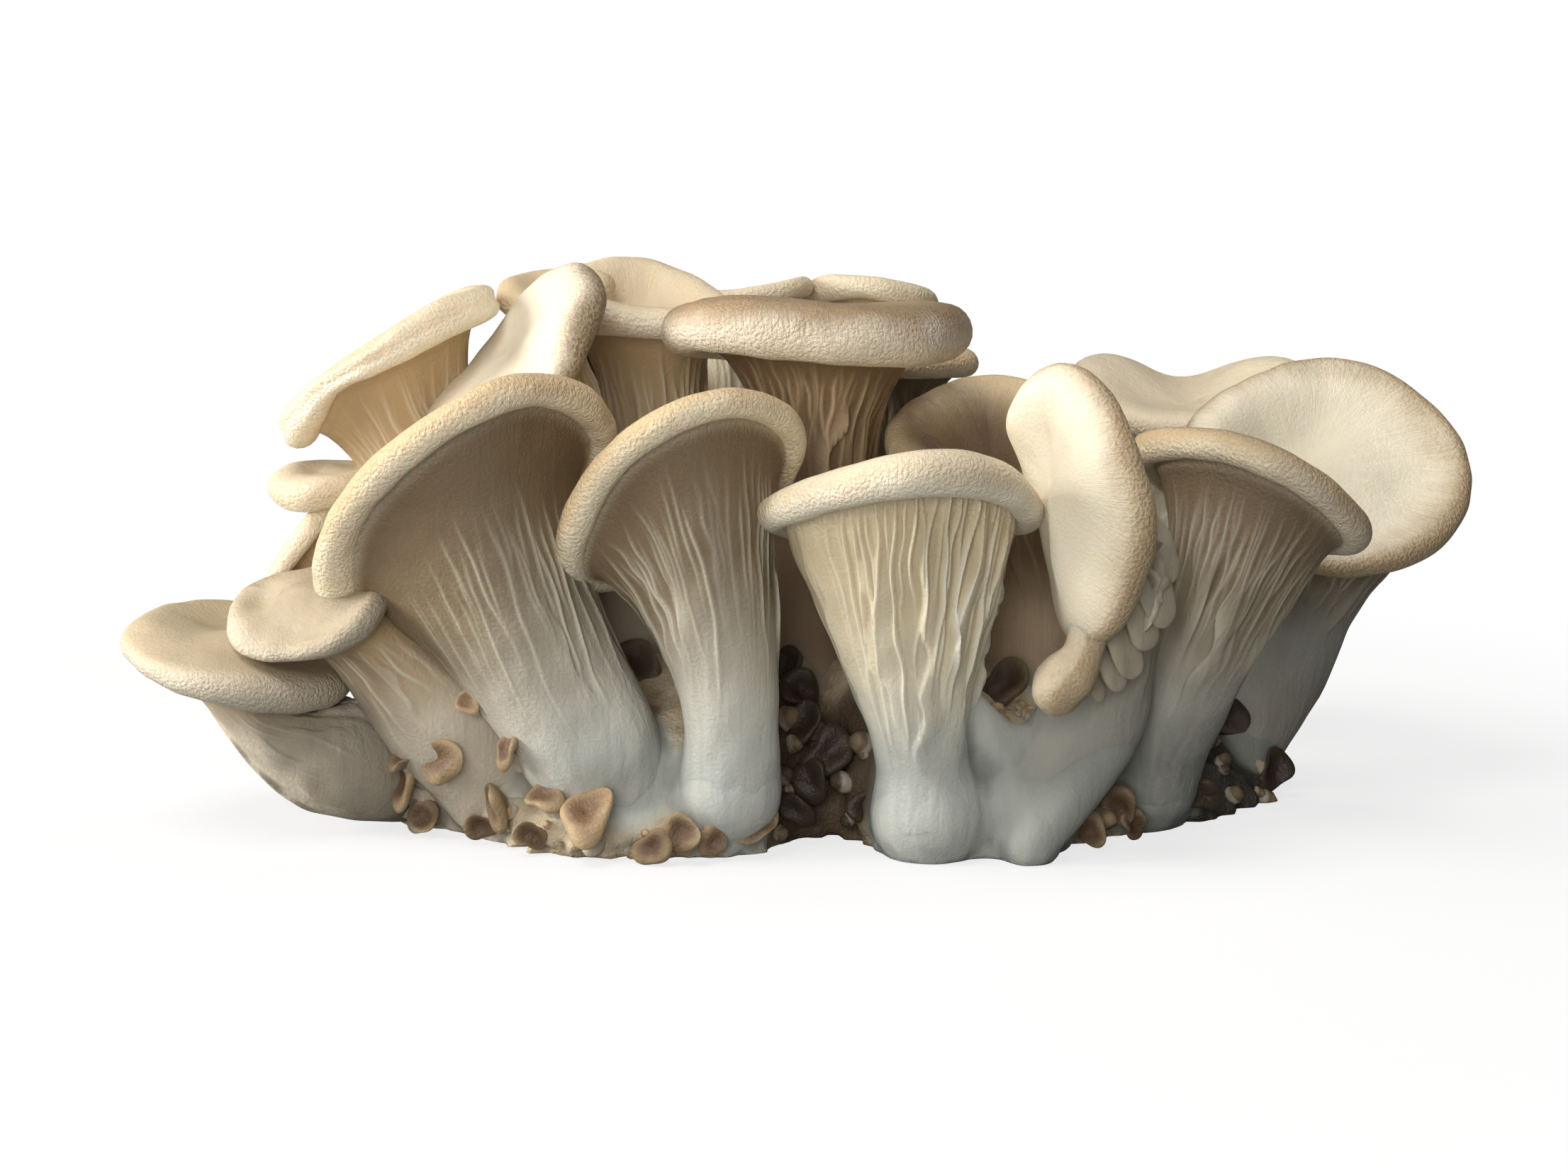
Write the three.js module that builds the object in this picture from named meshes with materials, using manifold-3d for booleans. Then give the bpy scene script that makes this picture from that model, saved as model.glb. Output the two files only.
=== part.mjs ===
// A cluster of oyster mushrooms, cut from the block it grew on and standing on the flat cut.
// Millimetres. X runs across the cluster's wide front, Y runs from front to back, Z is up.
// The origin lies on the cut face, under the middle of the cluster.

import * as THREE from 'three';
import Module from 'manifold-3d';

const wasm = await Module();
wasm.setup();

// ---------------------------------------------------------------- driving dimensions

const CONTACT_GAP = 0.35;        // clearance kept between two neighbours that press together

const MERIDIANS = 14;            // divisions round a mushroom
const PIN_MERIDIANS = 8;         // divisions round a pin-sized mushroom
const STEM_RINGS = 3;            // rings from the foot to where the gills begin
const GILL_RINGS = 4;            // rings from there to the rolled margin
const TOP_RINGS = 2;             // rings from the margin to the middle of the cap
const ROLL_START = -140;         // degrees round the margin, where the gills run into it
const ROLL_END = 85;             // degrees round the margin, where the top skin leaves it
const ROLL_RINGS = 4;
const RISE_HANDLE = 0.3;         // how far the gills follow the stem before they spread
const ARRIVAL_HANDLE = 0.3;      // how far they keep the flare's slope below the margin
const SHOULDER_HANDLE = 0.35;    // how far the top skin runs straight on from the margin
const HUB_HANDLE = 0.4;          // how far it runs level round the hub
const FOOT_SHARE = 0.75;         // radius of the foot's lowest ring, in foot radii
const FOOT_DROP = 0.42;          // how far that ring lies below the foot, in foot radii
const FOOT_TIP_DROP = 0.6;       // how far the foot's tip does
const RIM_STEP = 0.02;           // share of a rim span over which the rim's direction is taken
const FRAMES_A_RING = 8;         // how finely the stem's sideways directions are sampled
const SPLINE_SWEEPS = 40;        // enough to settle a closed curve's tangents
const KNOB_MERIDIANS = 12;       // divisions round a knob under a cap

const PIN_FOOT_SHARE = 0.55;     // radius of a pin's foot, in cap radii
const PIN_TOP = 0.45;            // height of its cap's top above the cap's middle, in cap radii
// rings of a pin's cap, in cap radii: radius, and height above the cap's middle
const PIN_CAP = [[0.5, -0.6], [0.95, -0.35], [1, 0.05], [0.6, 0.4]];

const BASE_DIVISIONS = 40;
// rings of the base from the cut up: share of the outline, of the shoulder, and of the dome
const BASE_PROFILE = [
  { share: 0.98, shoulder: 0, dome: 0 },
  { share: 1, shoulder: 0.25, dome: 0 },
  { share: 0.985, shoulder: 0.65, dome: 0 },
  { share: 0.93, shoulder: 1, dome: 0 },
  { share: 0.8, shoulder: 1, dome: 0.35 },
  { share: 0.6, shoulder: 1, dome: 0.7 },
  { share: 0.35, shoulder: 1, dome: 0.93 },
];

// The rim is a closed curve through its points, anticlockwise as seen from above the cap. A
// point's fourth value swells the lip there.
// The stem is the foot, two guide points and the hub, the middle of the cap's top.
// footRadius and neckRadius are the stem's, lip is the rolled margin's, and flare is the slope
// of the gills where they reach the margin, in degrees above the cap's plane.
// gillStart is the share of the stem's length below the gills. A dome lifts the middle of the
// cap, and rollEnd then says where the top skin leaves the margin. A knob is a lobe under the
// cap, as a line of points that each have a radius.
const MUSHROOMS = {
  front_centre: {
    stem: [[27, -61, 8], [24, -63, 24], [22, -68, 42], [22, -64, 60]],
    rim: [[45, -69, 65], [40, -53, 62], [24, -45, 62], [6, -51, 61], [-2, -67, 64],
      [6, -80, 69], [22, -88, 74], [37, -82, 72]],
    footRadius: 11, neckRadius: 8.5, lip: 3, flare: 72, gillStart: 0.22, skin: 'cream',
  },
  front_left_large: {
    stem: [[-31, -51, 9], [-37, -55, 22], [-50, -60, 42], [-54, -53, 58]],
    rim: [[-34, -50, 78], [-42, -36, 64], [-58, -29, 50], [-76, -38, 44], [-83, -54, 50, 1.4],
      [-78, -68, 65], [-62, -79, 80], [-44, -71, 87]],
    footRadius: 11, neckRadius: 13.5, lip: 3.2, flare: 45, gillStart: 0.28, skin: 'tan',
  },
  front_left_tall: {
    stem: [[-10, -60, 12], [-9, -62, 28], [-9, -68, 46], [-17, -58, 60]],
    rim: [[1, -57, 78], [-3, -44, 64], [-14, -38, 53], [-29, -44, 50], [-39, -60, 53],
      [-35, -72, 68], [-24, -80, 80], [-9, -75, 85]],
    footRadius: 9.5, neckRadius: 9, lip: 2.8, flare: 45, gillStart: 0.3, skin: 'tan',
  },
  front_right_upright: {
    stem: [[42, -56, 8], [60, -50, 22], [76, -58, 62], [51, -69, 69]],
    rim: [[51.5, -70, 88], [47, -66, 86.4], [43.8, -62, 80], [45.8, -62, 73],
      [49.6, -63.5, 62], [52, -69, 49.5, 0.9], [54, -74.5, 44.5, 0.9], [57.5, -78, 47.5, 0.9],
      [60, -80, 54], [61.5, -82, 65], [58.8, -79, 77], [55.8, -75, 84.2]],
    footRadius: 12, neckRadius: 9.5, lip: 3.6, flare: 30, gillStart: 0.3, skin: 'pale',
    dome: 4, rollEnd: 50,
    knob: [[56, -75, 51, 5.2], [55.4, -76, 45.5, 4.8], [54.6, -76, 41.5, 3.9],
      [52.4, -76, 37.6, 5], [49.4, -76, 34, 5.2]],
  },
  front_right: {
    stem: [[70, -38, 9], [73, -42, 24], [84, -55, 44], [88, -46, 58]],
    rim: [[106, -53, 59], [101, -38, 56], [87, -29, 59], [74, -33, 67], [68, -46, 74],
      [77, -58, 76], [89, -64, 73], [99, -62, 67]],
    footRadius: 9.5, neckRadius: 8.8, lip: 3, flare: 50, gillStart: 0.3, skin: 'tan',
  },
  top_centre: {
    stem: [[2, -24, 10], [4, -24, 36], [9, -28, 72], [7, -26, 100]],
    rim: [[31, -26, 95], [25, -10, 97], [6, -2, 97], [-12, -10, 97], [-19, -28, 95],
      [-12, -43, 97], [6, -50, 96], [22, -46, 95]],
    footRadius: 9, neckRadius: 8.5, lip: 5.5, flare: 25, gillStart: 0.5, skin: 'grey',
  },
  left_small: {
    stem: [[-54, -41, 8], [-60, -46, 20], [-73, -49, 35], [-86, -50, 43]],
    rim: [[-75, -58, 47, 0.7], [-78, -47, 50, 0.6], [-91, -38, 48.5], [-101, -38, 44.5],
      [-102, -48, 40.5], [-97, -56, 38.5], [-88, -60, 38.5], [-80, -62, 41.5, 0.9]],
    footRadius: 11.5, neckRadius: 12.5, lip: 2.8, flare: 45, gillStart: 0.35, skin: 'cream',
    dome: 9, rollEnd: 70,
  },
  far_left: {
    stem: [[-70, -35, 8], [-80, -40, 10], [-96, -43, 20], [-104, -38, 35]],
    rim: [[-86, -42, 29], [-91, -25, 33], [-105, -16, 36], [-118, -24, 38], [-123, -39, 37],
      [-117, -52, 34], [-106, -58, 31.5], [-94, -55, 29.5]],
    footRadius: 8, neckRadius: 10.5, lip: 3.6, flare: 45, gillStart: 0.4, skin: 'gold',
    dome: 4, rollEnd: 60,
  },
  right_large: {
    stem: [[91, 3, 9], [102, 6, 22], [113, 10, 49], [105, -1, 64]],
    rim: [[138, 6, 64], [130, 19, 78], [114, 22, 84], [97, 12, 81], [84, -4, 71],
      [93, -19, 54], [112, -19, 49], [129, -9, 53]],
    footRadius: 11, neckRadius: 11.5, lip: 3.2, flare: 30, gillStart: 0.45, skin: 'pale',
  },
  right_back: {
    stem: [[70, 24, 10], [74, 28, 28], [86, 44, 56], [86, 38, 76]],
    rim: [[112, 40, 80], [104, 56, 82], [88, 62, 78], [72, 54, 83], [64, 38, 80], [70, 24, 74],
      [86, 19, 72], [103, 25, 75]],
    footRadius: 9, neckRadius: 9, lip: 3, flare: 30, gillStart: 0.45, skin: 'cream',
  },
  centre_right: {
    stem: [[44, -24, 10], [50, -19, 28], [52, -12, 50], [40, -19, 66]],
    rim: [[58, -20, 74], [53, -5, 80], [40, 1, 83], [29, -9, 80], [22, -22, 75], [26, -34, 68],
      [38, -37, 65], [52, -33, 67]],
    footRadius: 9, neckRadius: 10.5, lip: 2.4, flare: 35, gillStart: 0.5, skin: 'brown',
  },
  centre_back: {
    stem: [[26, 16, 10], [26, 18, 30], [24, 22, 62], [22, 24, 84]],
    rim: [[38, 20, 86], [34, 33, 86], [22, 38, 85], [10, 33, 86], [6, 22, 86], [12, 12, 86],
      [24, 9, 86], [34, 12, 86]],
    footRadius: 7, neckRadius: 6, lip: 2.6, flare: 30, gillStart: 0.5, skin: 'tan',
  },
  top_left_upright: {
    stem: [[-28, -20, 10], [-30, -18, 35], [-35, -18, 72], [-49, -26, 88]],
    rim: [[-37, -40, 94, 1.4], [-35, -31, 102, 1.4], [-40, -18, 105], [-49, -10, 99],
      [-58, -12, 88], [-67, -22, 78], [-62, -38, 75], [-46, -46, 82]],
    footRadius: 9, neckRadius: 9, lip: 3, flare: 45, gillStart: 0.45, skin: 'toast',
    dome: 6, rollEnd: 60,
  },
  top_left_wide: {
    stem: [[-46, -20, 12], [-54, -20, 34], [-69, -18, 62], [-77, -18, 84]],
    rim: [[-59, -17, 100, 1.2], [-65, -2, 99], [-78, 4, 92], [-91, -5, 83],
      [-95, -20, 76, 1.6], [-88, -34, 84], [-78, -40, 90], [-66, -31, 97, 1.2]],
    footRadius: 9, neckRadius: 10, lip: 2.8, flare: 50, gillStart: 0.4, skin: 'gold',
  },
  left_middle_small: {
    stem: [[-56, -16, 14], [-68, -16, 34], [-84, -19, 54], [-90, -21, 68]],
    rim: [[-81, -22, 66], [-84, -14, 66], [-91, -11, 66], [-96, -15, 66], [-98, -22, 65],
      [-96, -28, 64], [-91, -32, 64], [-84, -29, 65]],
    footRadius: 5.5, neckRadius: 5, lip: 3, flare: 20, gillStart: 0.6, skin: 'cream',
  },
  left_middle_thin: {
    stem: [[-60, -24, 10], [-72, -22, 22], [-84, -22, 44], [-93, -22, 52]],
    rim: [[-88, -22, 62], [-91, -12, 58], [-96, -10, 50], [-100, -14, 44], [-102, -22, 42],
      [-100, -30, 45], [-96, -33, 51], [-91, -31, 58]],
    footRadius: 5.5, neckRadius: 5, lip: 1.8, flare: 25, gillStart: 0.6, skin: 'gold',
  },
  top_left_small: {
    stem: [[-26, 2, 12], [-28, 4, 45], [-42, 4, 84], [-46, 3, 102]],
    rim: [[-37, 3, 102], [-40, 10, 103], [-47, 12, 103], [-53, 9, 102], [-55, 3, 101],
      [-53, -4, 99], [-46, -6, 98], [-39, -3, 100]],
    footRadius: 6.5, neckRadius: 5.5, lip: 3, flare: 20, gillStart: 0.6, skin: 'tan',
  },
  top_left_folded: {
    stem: [[-14, -6, 12], [-17, -4, 40], [-28, 2, 68], [-29, 2, 94]],
    rim: [[-11, 3, 95, 1], [-16, 14, 99.5, 1], [-28, 19, 105.5, 0.8], [-38, 13, 105.5, 0.8],
      [-43, 2, 102, 1], [-38, -9, 98, 1.2], [-27, -13, 96, 1.2], [-17, -9, 95, 1.2]],
    footRadius: 8, neckRadius: 10, lip: 3, flare: 68, gillStart: 0.3, skin: 'cream',
  },
  top_back_left: {
    stem: [[-6, 24, 10], [-6, 26, 40], [-9, 36, 76], [-10, 43, 96]],
    rim: [[4, 41, 101], [0, 54, 99], [-11, 61, 96], [-22, 56, 96], [-27, 43, 97],
      [-22, 30, 98], [-10, 26, 99], [1, 30, 101]],
    footRadius: 8, neckRadius: 7.5, lip: 2.6, flare: 30, gillStart: 0.5, skin: 'tan',
  },
  top_back_right: {
    stem: [[14, 34, 10], [15, 36, 40], [18, 42, 76], [19, 48, 94]],
    rim: [[31, 48, 97], [28, 59, 93], [19, 65, 90], [10, 59, 94], [7, 48, 99], [11, 39, 101],
      [19, 35, 101], [28, 38, 99]],
    footRadius: 7.5, neckRadius: 7, lip: 2.6, flare: 30, gillStart: 0.5, skin: 'cream',
  },
  back_left: {
    stem: [[-42, 18, 10], [-44, 22, 28], [-46, 30, 56], [-54, 40, 70]],
    rim: [[-32, 34, 82], [-36, 52, 76], [-52, 63, 66], [-70, 57, 62], [-78, 42, 64],
      [-72, 26, 72], [-58, 17, 80], [-42, 20, 84]],
    footRadius: 10, neckRadius: 9, lip: 3, flare: 45, gillStart: 0.35, skin: 'tan',
  },
  back_centre: {
    stem: [[-8, 44, 9], [-8, 50, 20], [-9, 54, 42], [-10, 66, 54]],
    rim: [[16, 62, 58], [10, 74, 46], [-8, 82, 38], [-26, 76, 44], [-34, 64, 56],
      [-28, 56, 68], [-10, 52, 74], [10, 55, 68]],
    footRadius: 10, neckRadius: 9.5, lip: 3, flare: 45, gillStart: 0.35, skin: 'cream',
  },
  back_right: {
    stem: [[44, 36, 9], [46, 42, 22], [48, 48, 48], [52, 58, 62]],
    rim: [[74, 54, 62], [68, 70, 54], [54, 78, 50], [38, 74, 56], [31, 60, 66], [36, 47, 74],
      [52, 43, 76], [68, 45, 70]],
    footRadius: 10, neckRadius: 9, lip: 3, flare: 40, gillStart: 0.35, skin: 'tan',
  },
};

// A pin is a mushroom that stopped growing. Each has the middle of its cap, the way it faces,
// its cap radius and its stem length.
const PINS = {
  left_1: [[-71.5, -52, 16.5], [-0.4, -0.7, 0.6], 2.8, 8],
  left_2: [[-72, -47, 10], [-0.7, -0.6, 0.4], 4, 8],
  left_3: [[-63.5, -57.5, 17], [-0.9, -0.3, 0.2], 4.4, 9],
  left_4: [[-51, -63, 20], [-0.4, -0.7, 0.6], 2.7, 7],
  left_5: [[-54, -56, 8], [-0.9, -0.4, 0.1], 4.2, 8],
  left_6: [[-44, -63, 11.5], [-0.4, -0.5, 0.8], 3.4, 7],
  left_7: [[-36, -68, 9], [-0.1, -0.5, 0.9], 5, 8],
  left_8: [[-57, -53, 3.5], [-0.3, -0.9, 0], 2.7, 6],
  left_9: [[-69, -45, 3.5], [-0.2, -0.9, 0.3], 3.2, 6],
  left_10: [[-47, -63, 4], [0.2, -0.9, 0.2], 2.8, 6],
  left_11: [[-58.5, -60, 28.5], [-0.3, -0.8, 0.5], 2.2, 5],
  centre_1: [[-24, -69, 3.5], [-0.1, -1, 0], 3, 6],
  centre_2: [[-19, -69, 6], [0.1, -1, 0.1], 3.4, 7],
  centre_3: [[-13, -67, 4], [0.2, -1, 0], 2.6, 5],
  centre_4: [[-5, -63, 6.5], [0.3, -0.8, 0.4], 3.8, 7],
  gap_1: [[2, -54, 7], [-0.2, -1, 0.1], 3.2, 6],
  gap_2: [[5, -51, 12], [-0.3, -0.9, 0.3], 3.6, 8],
  gap_3: [[8, -49, 17], [0.3, -0.9, 0.2], 4.2, 9],
  gap_4: [[4, -45, 22], [-0.3, -0.8, 0.4], 3.6, 9],
  gap_5: [[3, -42, 27.5], [0.4, -0.8, 0.4], 3.6, 9],
  gap_6: [[1, -37, 32], [-0.5, -0.8, 0.3], 3.2, 9],
  gap_7: [[15, -53, 7], [0.3, -0.9, 0.1], 3, 7],
  right_1: [[63, -51, 7], [0, -1, 0.1], 3.4, 8],
  right_2: [[57, -58, 4], [-0.2, -0.9, 0], 3, 6],
  right_3: [[66, -50, 3.5], [0.3, -0.9, 0], 2.6, 7],
  right_4: [[88, -24, 19], [0.4, -0.8, 0.4], 3.4, 18],
  right_5: [[99, -11, 6], [0.8, -0.5, 0.3], 3.8, 8],
  right_6: [[81, -37, 6], [0.2, -0.9, 0.2], 3, 7],
  behind_1: [[42, -37, 28], [0, -0.8, 0.5], 4.6, 8],
  behind_2: [[-28, -35, 32], [0, -0.8, 0.5], 4.2, 9],
  back_1: [[-74, 27, 9], [-0.6, 0.7, 0.3], 3.6, 9],
  back_2: [[-34, 52, 8], [-0.1, 0.9, 0.3], 3.2, 8],
  back_3: [[22, 57, 7], [0, 1, 0.2], 3.8, 8],
  back_4: [[86, 35, 8], [0.6, 0.7, 0.3], 3.4, 9],
  back_5: [[-86, -4, 6], [-1, 0.1, 0.3], 3, 8],
};

// The base's outline on the ground, anticlockwise, and the height of its shoulder there.
const BASE_OUTLINE = [
  [104, 2, 8], [98, 20, 9], [76, 36, 12], [44, 48, 14], [8, 54, 15], [-30, 48, 15],
  [-60, 36, 14], [-78, 14, 12], [-82, -14, 12], [-76, -34, 12], [-62, -44, 14], [-46, -62, 10],
  [-26, -66, 8], [-8, -63, 7], [2, -51, 10], [12, -49, 10], [20, -62, 14], [36, -68, 19],
  [52, -62, 17], [62, -48, 10], [78, -38, 7], [96, -16, 6],
];
const BASE_CENTRE = [6, -10];
const BASE_HEIGHT = 36;

const COLOURS = {
  cream: 0xe0d2b4, tan: 0xc9b28a, gold: 0xd3b47e, pale: 0xe4d3b4, grey: 0xb9a78b,
  brown: 0xa58c68, toast: 0xc4ac84, pin: 0x9c7a52, base: 0xd8d4c8,
};

// ---------------------------------------------------------------- curves

/** A smooth closed curve through points, as a function of its parameter in points. */
function closedSpline(points) {
  const count = points.length;
  const tangents = points.map((_, i) => points[(i + 1) % count].clone()
    .sub(points[(i + count - 1) % count]).multiplyScalar(0.5));
  // relaxed until the curvature is continuous at every point
  for (let sweep = 0; sweep < SPLINE_SWEEPS; sweep += 1) {
    for (let i = 0; i < count; i += 1) {
      const before = (i + count - 1) % count;
      const after = (i + 1) % count;
      tangents[i].copy(points[after]).sub(points[before]).multiplyScalar(3)
        .sub(tangents[before]).sub(tangents[after]).multiplyScalar(0.25);
    }
  }
  return (u) => {
    const i = Math.floor(u) % count;
    const t = u - Math.floor(u);
    const next = (i + 1) % count;
    return new THREE.Vector3()
      .addScaledVector(points[i], 2 * t ** 3 - 3 * t ** 2 + 1)
      .addScaledVector(tangents[i], t ** 3 - 2 * t ** 2 + t)
      .addScaledVector(points[next], 3 * t ** 2 - 2 * t ** 3)
      .addScaledVector(tangents[next], t ** 3 - t ** 2);
  };
}

const vector = ([x, y, z]) => new THREE.Vector3(x, y, z);
const smooth = (t) => t * t * (3 - 2 * t);
const degrees = THREE.MathUtils.degToRad;

/** direction with its part along axis taken out, at unit length. */
function across(direction, axis) {
  return direction.clone().addScaledVector(axis, -direction.dot(axis)).normalize();
}

// ---------------------------------------------------------------- one fruit body

/** Rings of points from the foot's tip, up the stem and gills, over the margin, to the hub. */
function fruitBodyRings(spec) {
  const spine = new THREE.CubicBezierCurve3(...spec.stem.map(vector));
  const neckEnd = spine.getPoint(1);
  const facing = spine.getTangent(1);
  const rim = closedSpline(spec.rim.map(vector));
  const lipShare = closedSpline(spec.rim.map(([, , , share = 1]) => new THREE.Vector3(share, 0, 0)));
  const frames = spine.computeFrenetFrames(STEM_RINGS * FRAMES_A_RING);

  const columns = [];
  for (let j = 0; j < MERIDIANS; j += 1) {
    const u = (j / MERIDIANS) * spec.rim.length;
    const margin = rim(u);
    const along = rim(u + RIM_STEP).sub(rim(u - RIM_STEP + spec.rim.length)).normalize();
    const out = across(margin.clone().sub(neckEnd), facing);
    const roll = across(out, along);
    const upward = across(facing, roll);
    columns.push({ margin, out, roll, upward, lip: spec.lip * lipShare(u).x });
  }

  // the stem's rings keep the same meridian under the same stretch of rim
  const last = frames.normals.length - 1;
  const angleOf = (out) => Math.atan2(out.dot(frames.binormals[last]), out.dot(frames.normals[last]));
  const ringAt = (share, radius, drop) => {
    const k = Math.round(share * last);
    const centre = spine.getPoint(share).addScaledVector(frames.tangents[k], -drop);
    return columns.map(({ out }) => {
      const angle = angleOf(out);
      return centre.clone()
        .addScaledVector(frames.normals[k], radius * Math.cos(angle))
        .addScaledVector(frames.binormals[k], radius * Math.sin(angle));
    });
  };

  const { footRadius, neckRadius } = spec;
  const rings = [ringAt(0, footRadius * FOOT_SHARE, footRadius * FOOT_DROP)];
  for (let i = 0; i <= STEM_RINGS; i += 1) {
    const t = i / STEM_RINGS;
    rings.push(ringAt(t * spec.gillStart, THREE.MathUtils.lerp(footRadius, neckRadius, smooth(t)), 0));
  }

  const neck = rings[rings.length - 1];
  const rise = spine.getTangent(spec.gillStart);
  const slope = degrees(spec.flare);
  const start = degrees(ROLL_START);
  const gills = columns.map(({ margin, out, roll, upward, lip }, j) => {
    const end = margin.clone().addScaledVector(roll, lip * Math.cos(start))
      .addScaledVector(upward, lip * Math.sin(start));
    const reach = end.distanceTo(neck[j]);
    const arrival = out.clone().multiplyScalar(Math.cos(slope))
      .addScaledVector(facing, Math.sin(slope));
    return new THREE.CubicBezierCurve3(
      neck[j], neck[j].clone().addScaledVector(rise, reach * RISE_HANDLE),
      end.clone().addScaledVector(arrival, -reach * ARRIVAL_HANDLE), end);
  });
  for (let i = 1; i <= GILL_RINGS; i += 1) {
    rings.push(gills.map((gill) => gill.getPoint(i / GILL_RINGS)));
  }

  const leaving = degrees(spec.rollEnd ?? ROLL_END);
  for (let i = 1; i <= ROLL_RINGS; i += 1) {
    const turn = THREE.MathUtils.lerp(start, leaving, i / ROLL_RINGS);
    rings.push(columns.map(({ margin, roll, upward, lip }) => margin.clone()
      .addScaledVector(roll, lip * Math.cos(turn))
      .addScaledVector(upward, lip * Math.sin(turn))));
  }

  const shoulder = rings[rings.length - 1];
  const hub = neckEnd.clone().addScaledVector(facing, spec.dome ?? 0);
  const tops = columns.map(({ out, roll, upward }, j) => {
    const reach = shoulder[j].distanceTo(neckEnd);
    const leave = shoulder[j].clone()
      .addScaledVector(upward, Math.cos(leaving) * reach * SHOULDER_HANDLE)
      .addScaledVector(roll, -Math.sin(leaving) * reach * SHOULDER_HANDLE);
    return new THREE.CubicBezierCurve3(
      shoulder[j], leave, hub.clone().addScaledVector(out, reach * HUB_HANDLE), hub);
  });
  for (let i = 1; i <= TOP_RINGS; i += 1) {
    rings.push(tops.map((top) => top.getPoint(i / (TOP_RINGS + 1))));
  }

  const tip = spine.getPoint(0).addScaledVector(frames.tangents[0], -footRadius * FOOT_TIP_DROP);
  return { rings, tip, hub };
}

/** Rings of a bar with round ends, along a line of points that each have a radius. */
function barRings(line) {
  const middles = line.map(vector);
  const last = line.length - 1;
  const alongAt = (i) => middles[Math.min(i + 1, last)].clone()
    .sub(middles[Math.max(i - 1, 0)]).normalize();
  const ring = (i, turn) => {
    const along = alongAt(i);
    const side = across(new THREE.Vector3(0, 1, 0), along);
    const other = along.clone().cross(side);
    const radius = line[i][3] * Math.cos(turn);
    const centre = middles[i].clone().addScaledVector(along, line[i][3] * Math.sin(turn));
    return Array.from({ length: KNOB_MERIDIANS }, (_, j) => {
      const angle = (j / KNOB_MERIDIANS) * 2 * Math.PI;
      return centre.clone().addScaledVector(side, radius * Math.cos(angle))
        .addScaledVector(other, radius * Math.sin(angle));
    });
  };
  const halfway = Math.PI / 4;
  const rings = [ring(0, -halfway), ...line.map((_, i) => ring(i, 0)), ring(last, halfway)];
  const tip = middles[0].clone().addScaledVector(alongAt(0), -line[0][3]);
  const hub = middles[last].clone().addScaledVector(alongAt(last), line[last][3]);
  return { rings, tip, hub };
}

/** A closed mesh from rings between two poles, with its faces pointing out. */
function skinOver({ rings, tip, hub }) {
  const around = rings[0].length;
  const points = [tip, ...rings.flat(), hub];
  const triangles = [];
  const at = (ring, j) => 1 + ring * around + (j % around);
  for (let j = 0; j < around; j += 1) {
    triangles.push(0, at(0, j + 1), at(0, j));
    for (let ring = 0; ring + 1 < rings.length; ring += 1) {
      triangles.push(at(ring, j), at(ring, j + 1), at(ring + 1, j + 1));
      triangles.push(at(ring, j), at(ring + 1, j + 1), at(ring + 1, j));
    }
    triangles.push(at(rings.length - 1, j), at(rings.length - 1, j + 1), points.length - 1);
  }
  const geometry = new THREE.BufferGeometry().setFromPoints(points);
  geometry.setIndex(triangles);
  return geometry;
}

// ---------------------------------------------------------------- the cut base

/** The mycelium that the stems share: a lumpy dome on a flat cut. */
function baseGeometry() {
  const edge = closedSpline(BASE_OUTLINE.map(vector));
  const centre = vector([...BASE_CENTRE, 0]);
  const rings = BASE_PROFILE.map(({ share, shoulder, dome }) => (
    Array.from({ length: BASE_DIVISIONS }, (_, j) => {
      const p = edge((j / BASE_DIVISIONS) * BASE_OUTLINE.length);
      const height = THREE.MathUtils.lerp(p.z * shoulder, BASE_HEIGHT, dome);
      return p.setZ(0).sub(centre).multiplyScalar(share).add(centre)
        .setZ(height);
    })));
  return skinOver({ rings, tip: centre.clone(), hub: centre.clone().setZ(BASE_HEIGHT) });
}

// ---------------------------------------------------------------- pins

/** A stubby stem under a small domed cap, turned to face its way. */
function pinGeometry([middle, facing, radius, stem]) {
  const turn = new THREE.Quaternion()
    .setFromUnitVectors(new THREE.Vector3(0, 0, 1), vector(facing).normalize());
  const placed = (x, y, z) => new THREE.Vector3(x, y, z).applyQuaternion(turn).add(vector(middle));
  const profile = [[PIN_FOOT_SHARE, -stem], ...PIN_CAP.map(([share, up]) => [share, up * radius])];
  const rings = profile.map(([share, height]) => (
    Array.from({ length: PIN_MERIDIANS }, (_, j) => {
      const angle = (j / PIN_MERIDIANS) * 2 * Math.PI;
      return placed(share * radius * Math.cos(angle), share * radius * Math.sin(angle), height);
    })));
  return skinOver({ rings, tip: placed(0, 0, -stem), hub: placed(0, 0, PIN_TOP * radius) });
}

// ---------------------------------------------------------------- cutting neighbours apart

function solidOf(geometry) {
  return new wasm.Manifold(new wasm.Mesh({
    numProp: 3,
    vertProperties: new Float32Array(geometry.getAttribute('position').array),
    triVerts: new Uint32Array(geometry.getIndex().array),
  }));
}

/** The same closed mesh, swollen outwards by gap. */
function swollen(geometry, gap) {
  const copy = geometry.clone();
  copy.computeVertexNormals();
  const position = copy.getAttribute('position');
  const normal = copy.getAttribute('normal');
  for (let i = 0; i < position.count; i += 1) {
    position.setXYZ(i, position.getX(i) + gap * normal.getX(i),
      position.getY(i) + gap * normal.getY(i), position.getZ(i) + gap * normal.getZ(i));
  }
  return copy;
}

function geometryOf(solid) {
  const { vertProperties, triVerts } = solid.getMesh();
  const geometry = new THREE.BufferGeometry();
  geometry.setAttribute('position', new THREE.BufferAttribute(Float32Array.from(vertProperties), 3));
  geometry.setIndex(new THREE.BufferAttribute(Uint32Array.from(triVerts), 1));
  return geometry;
}

const cluster = new THREE.Group();
const taken = [];

const united = (geometries) => geometries.map(solidOf).reduce((whole, one) => whole.add(one));

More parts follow.
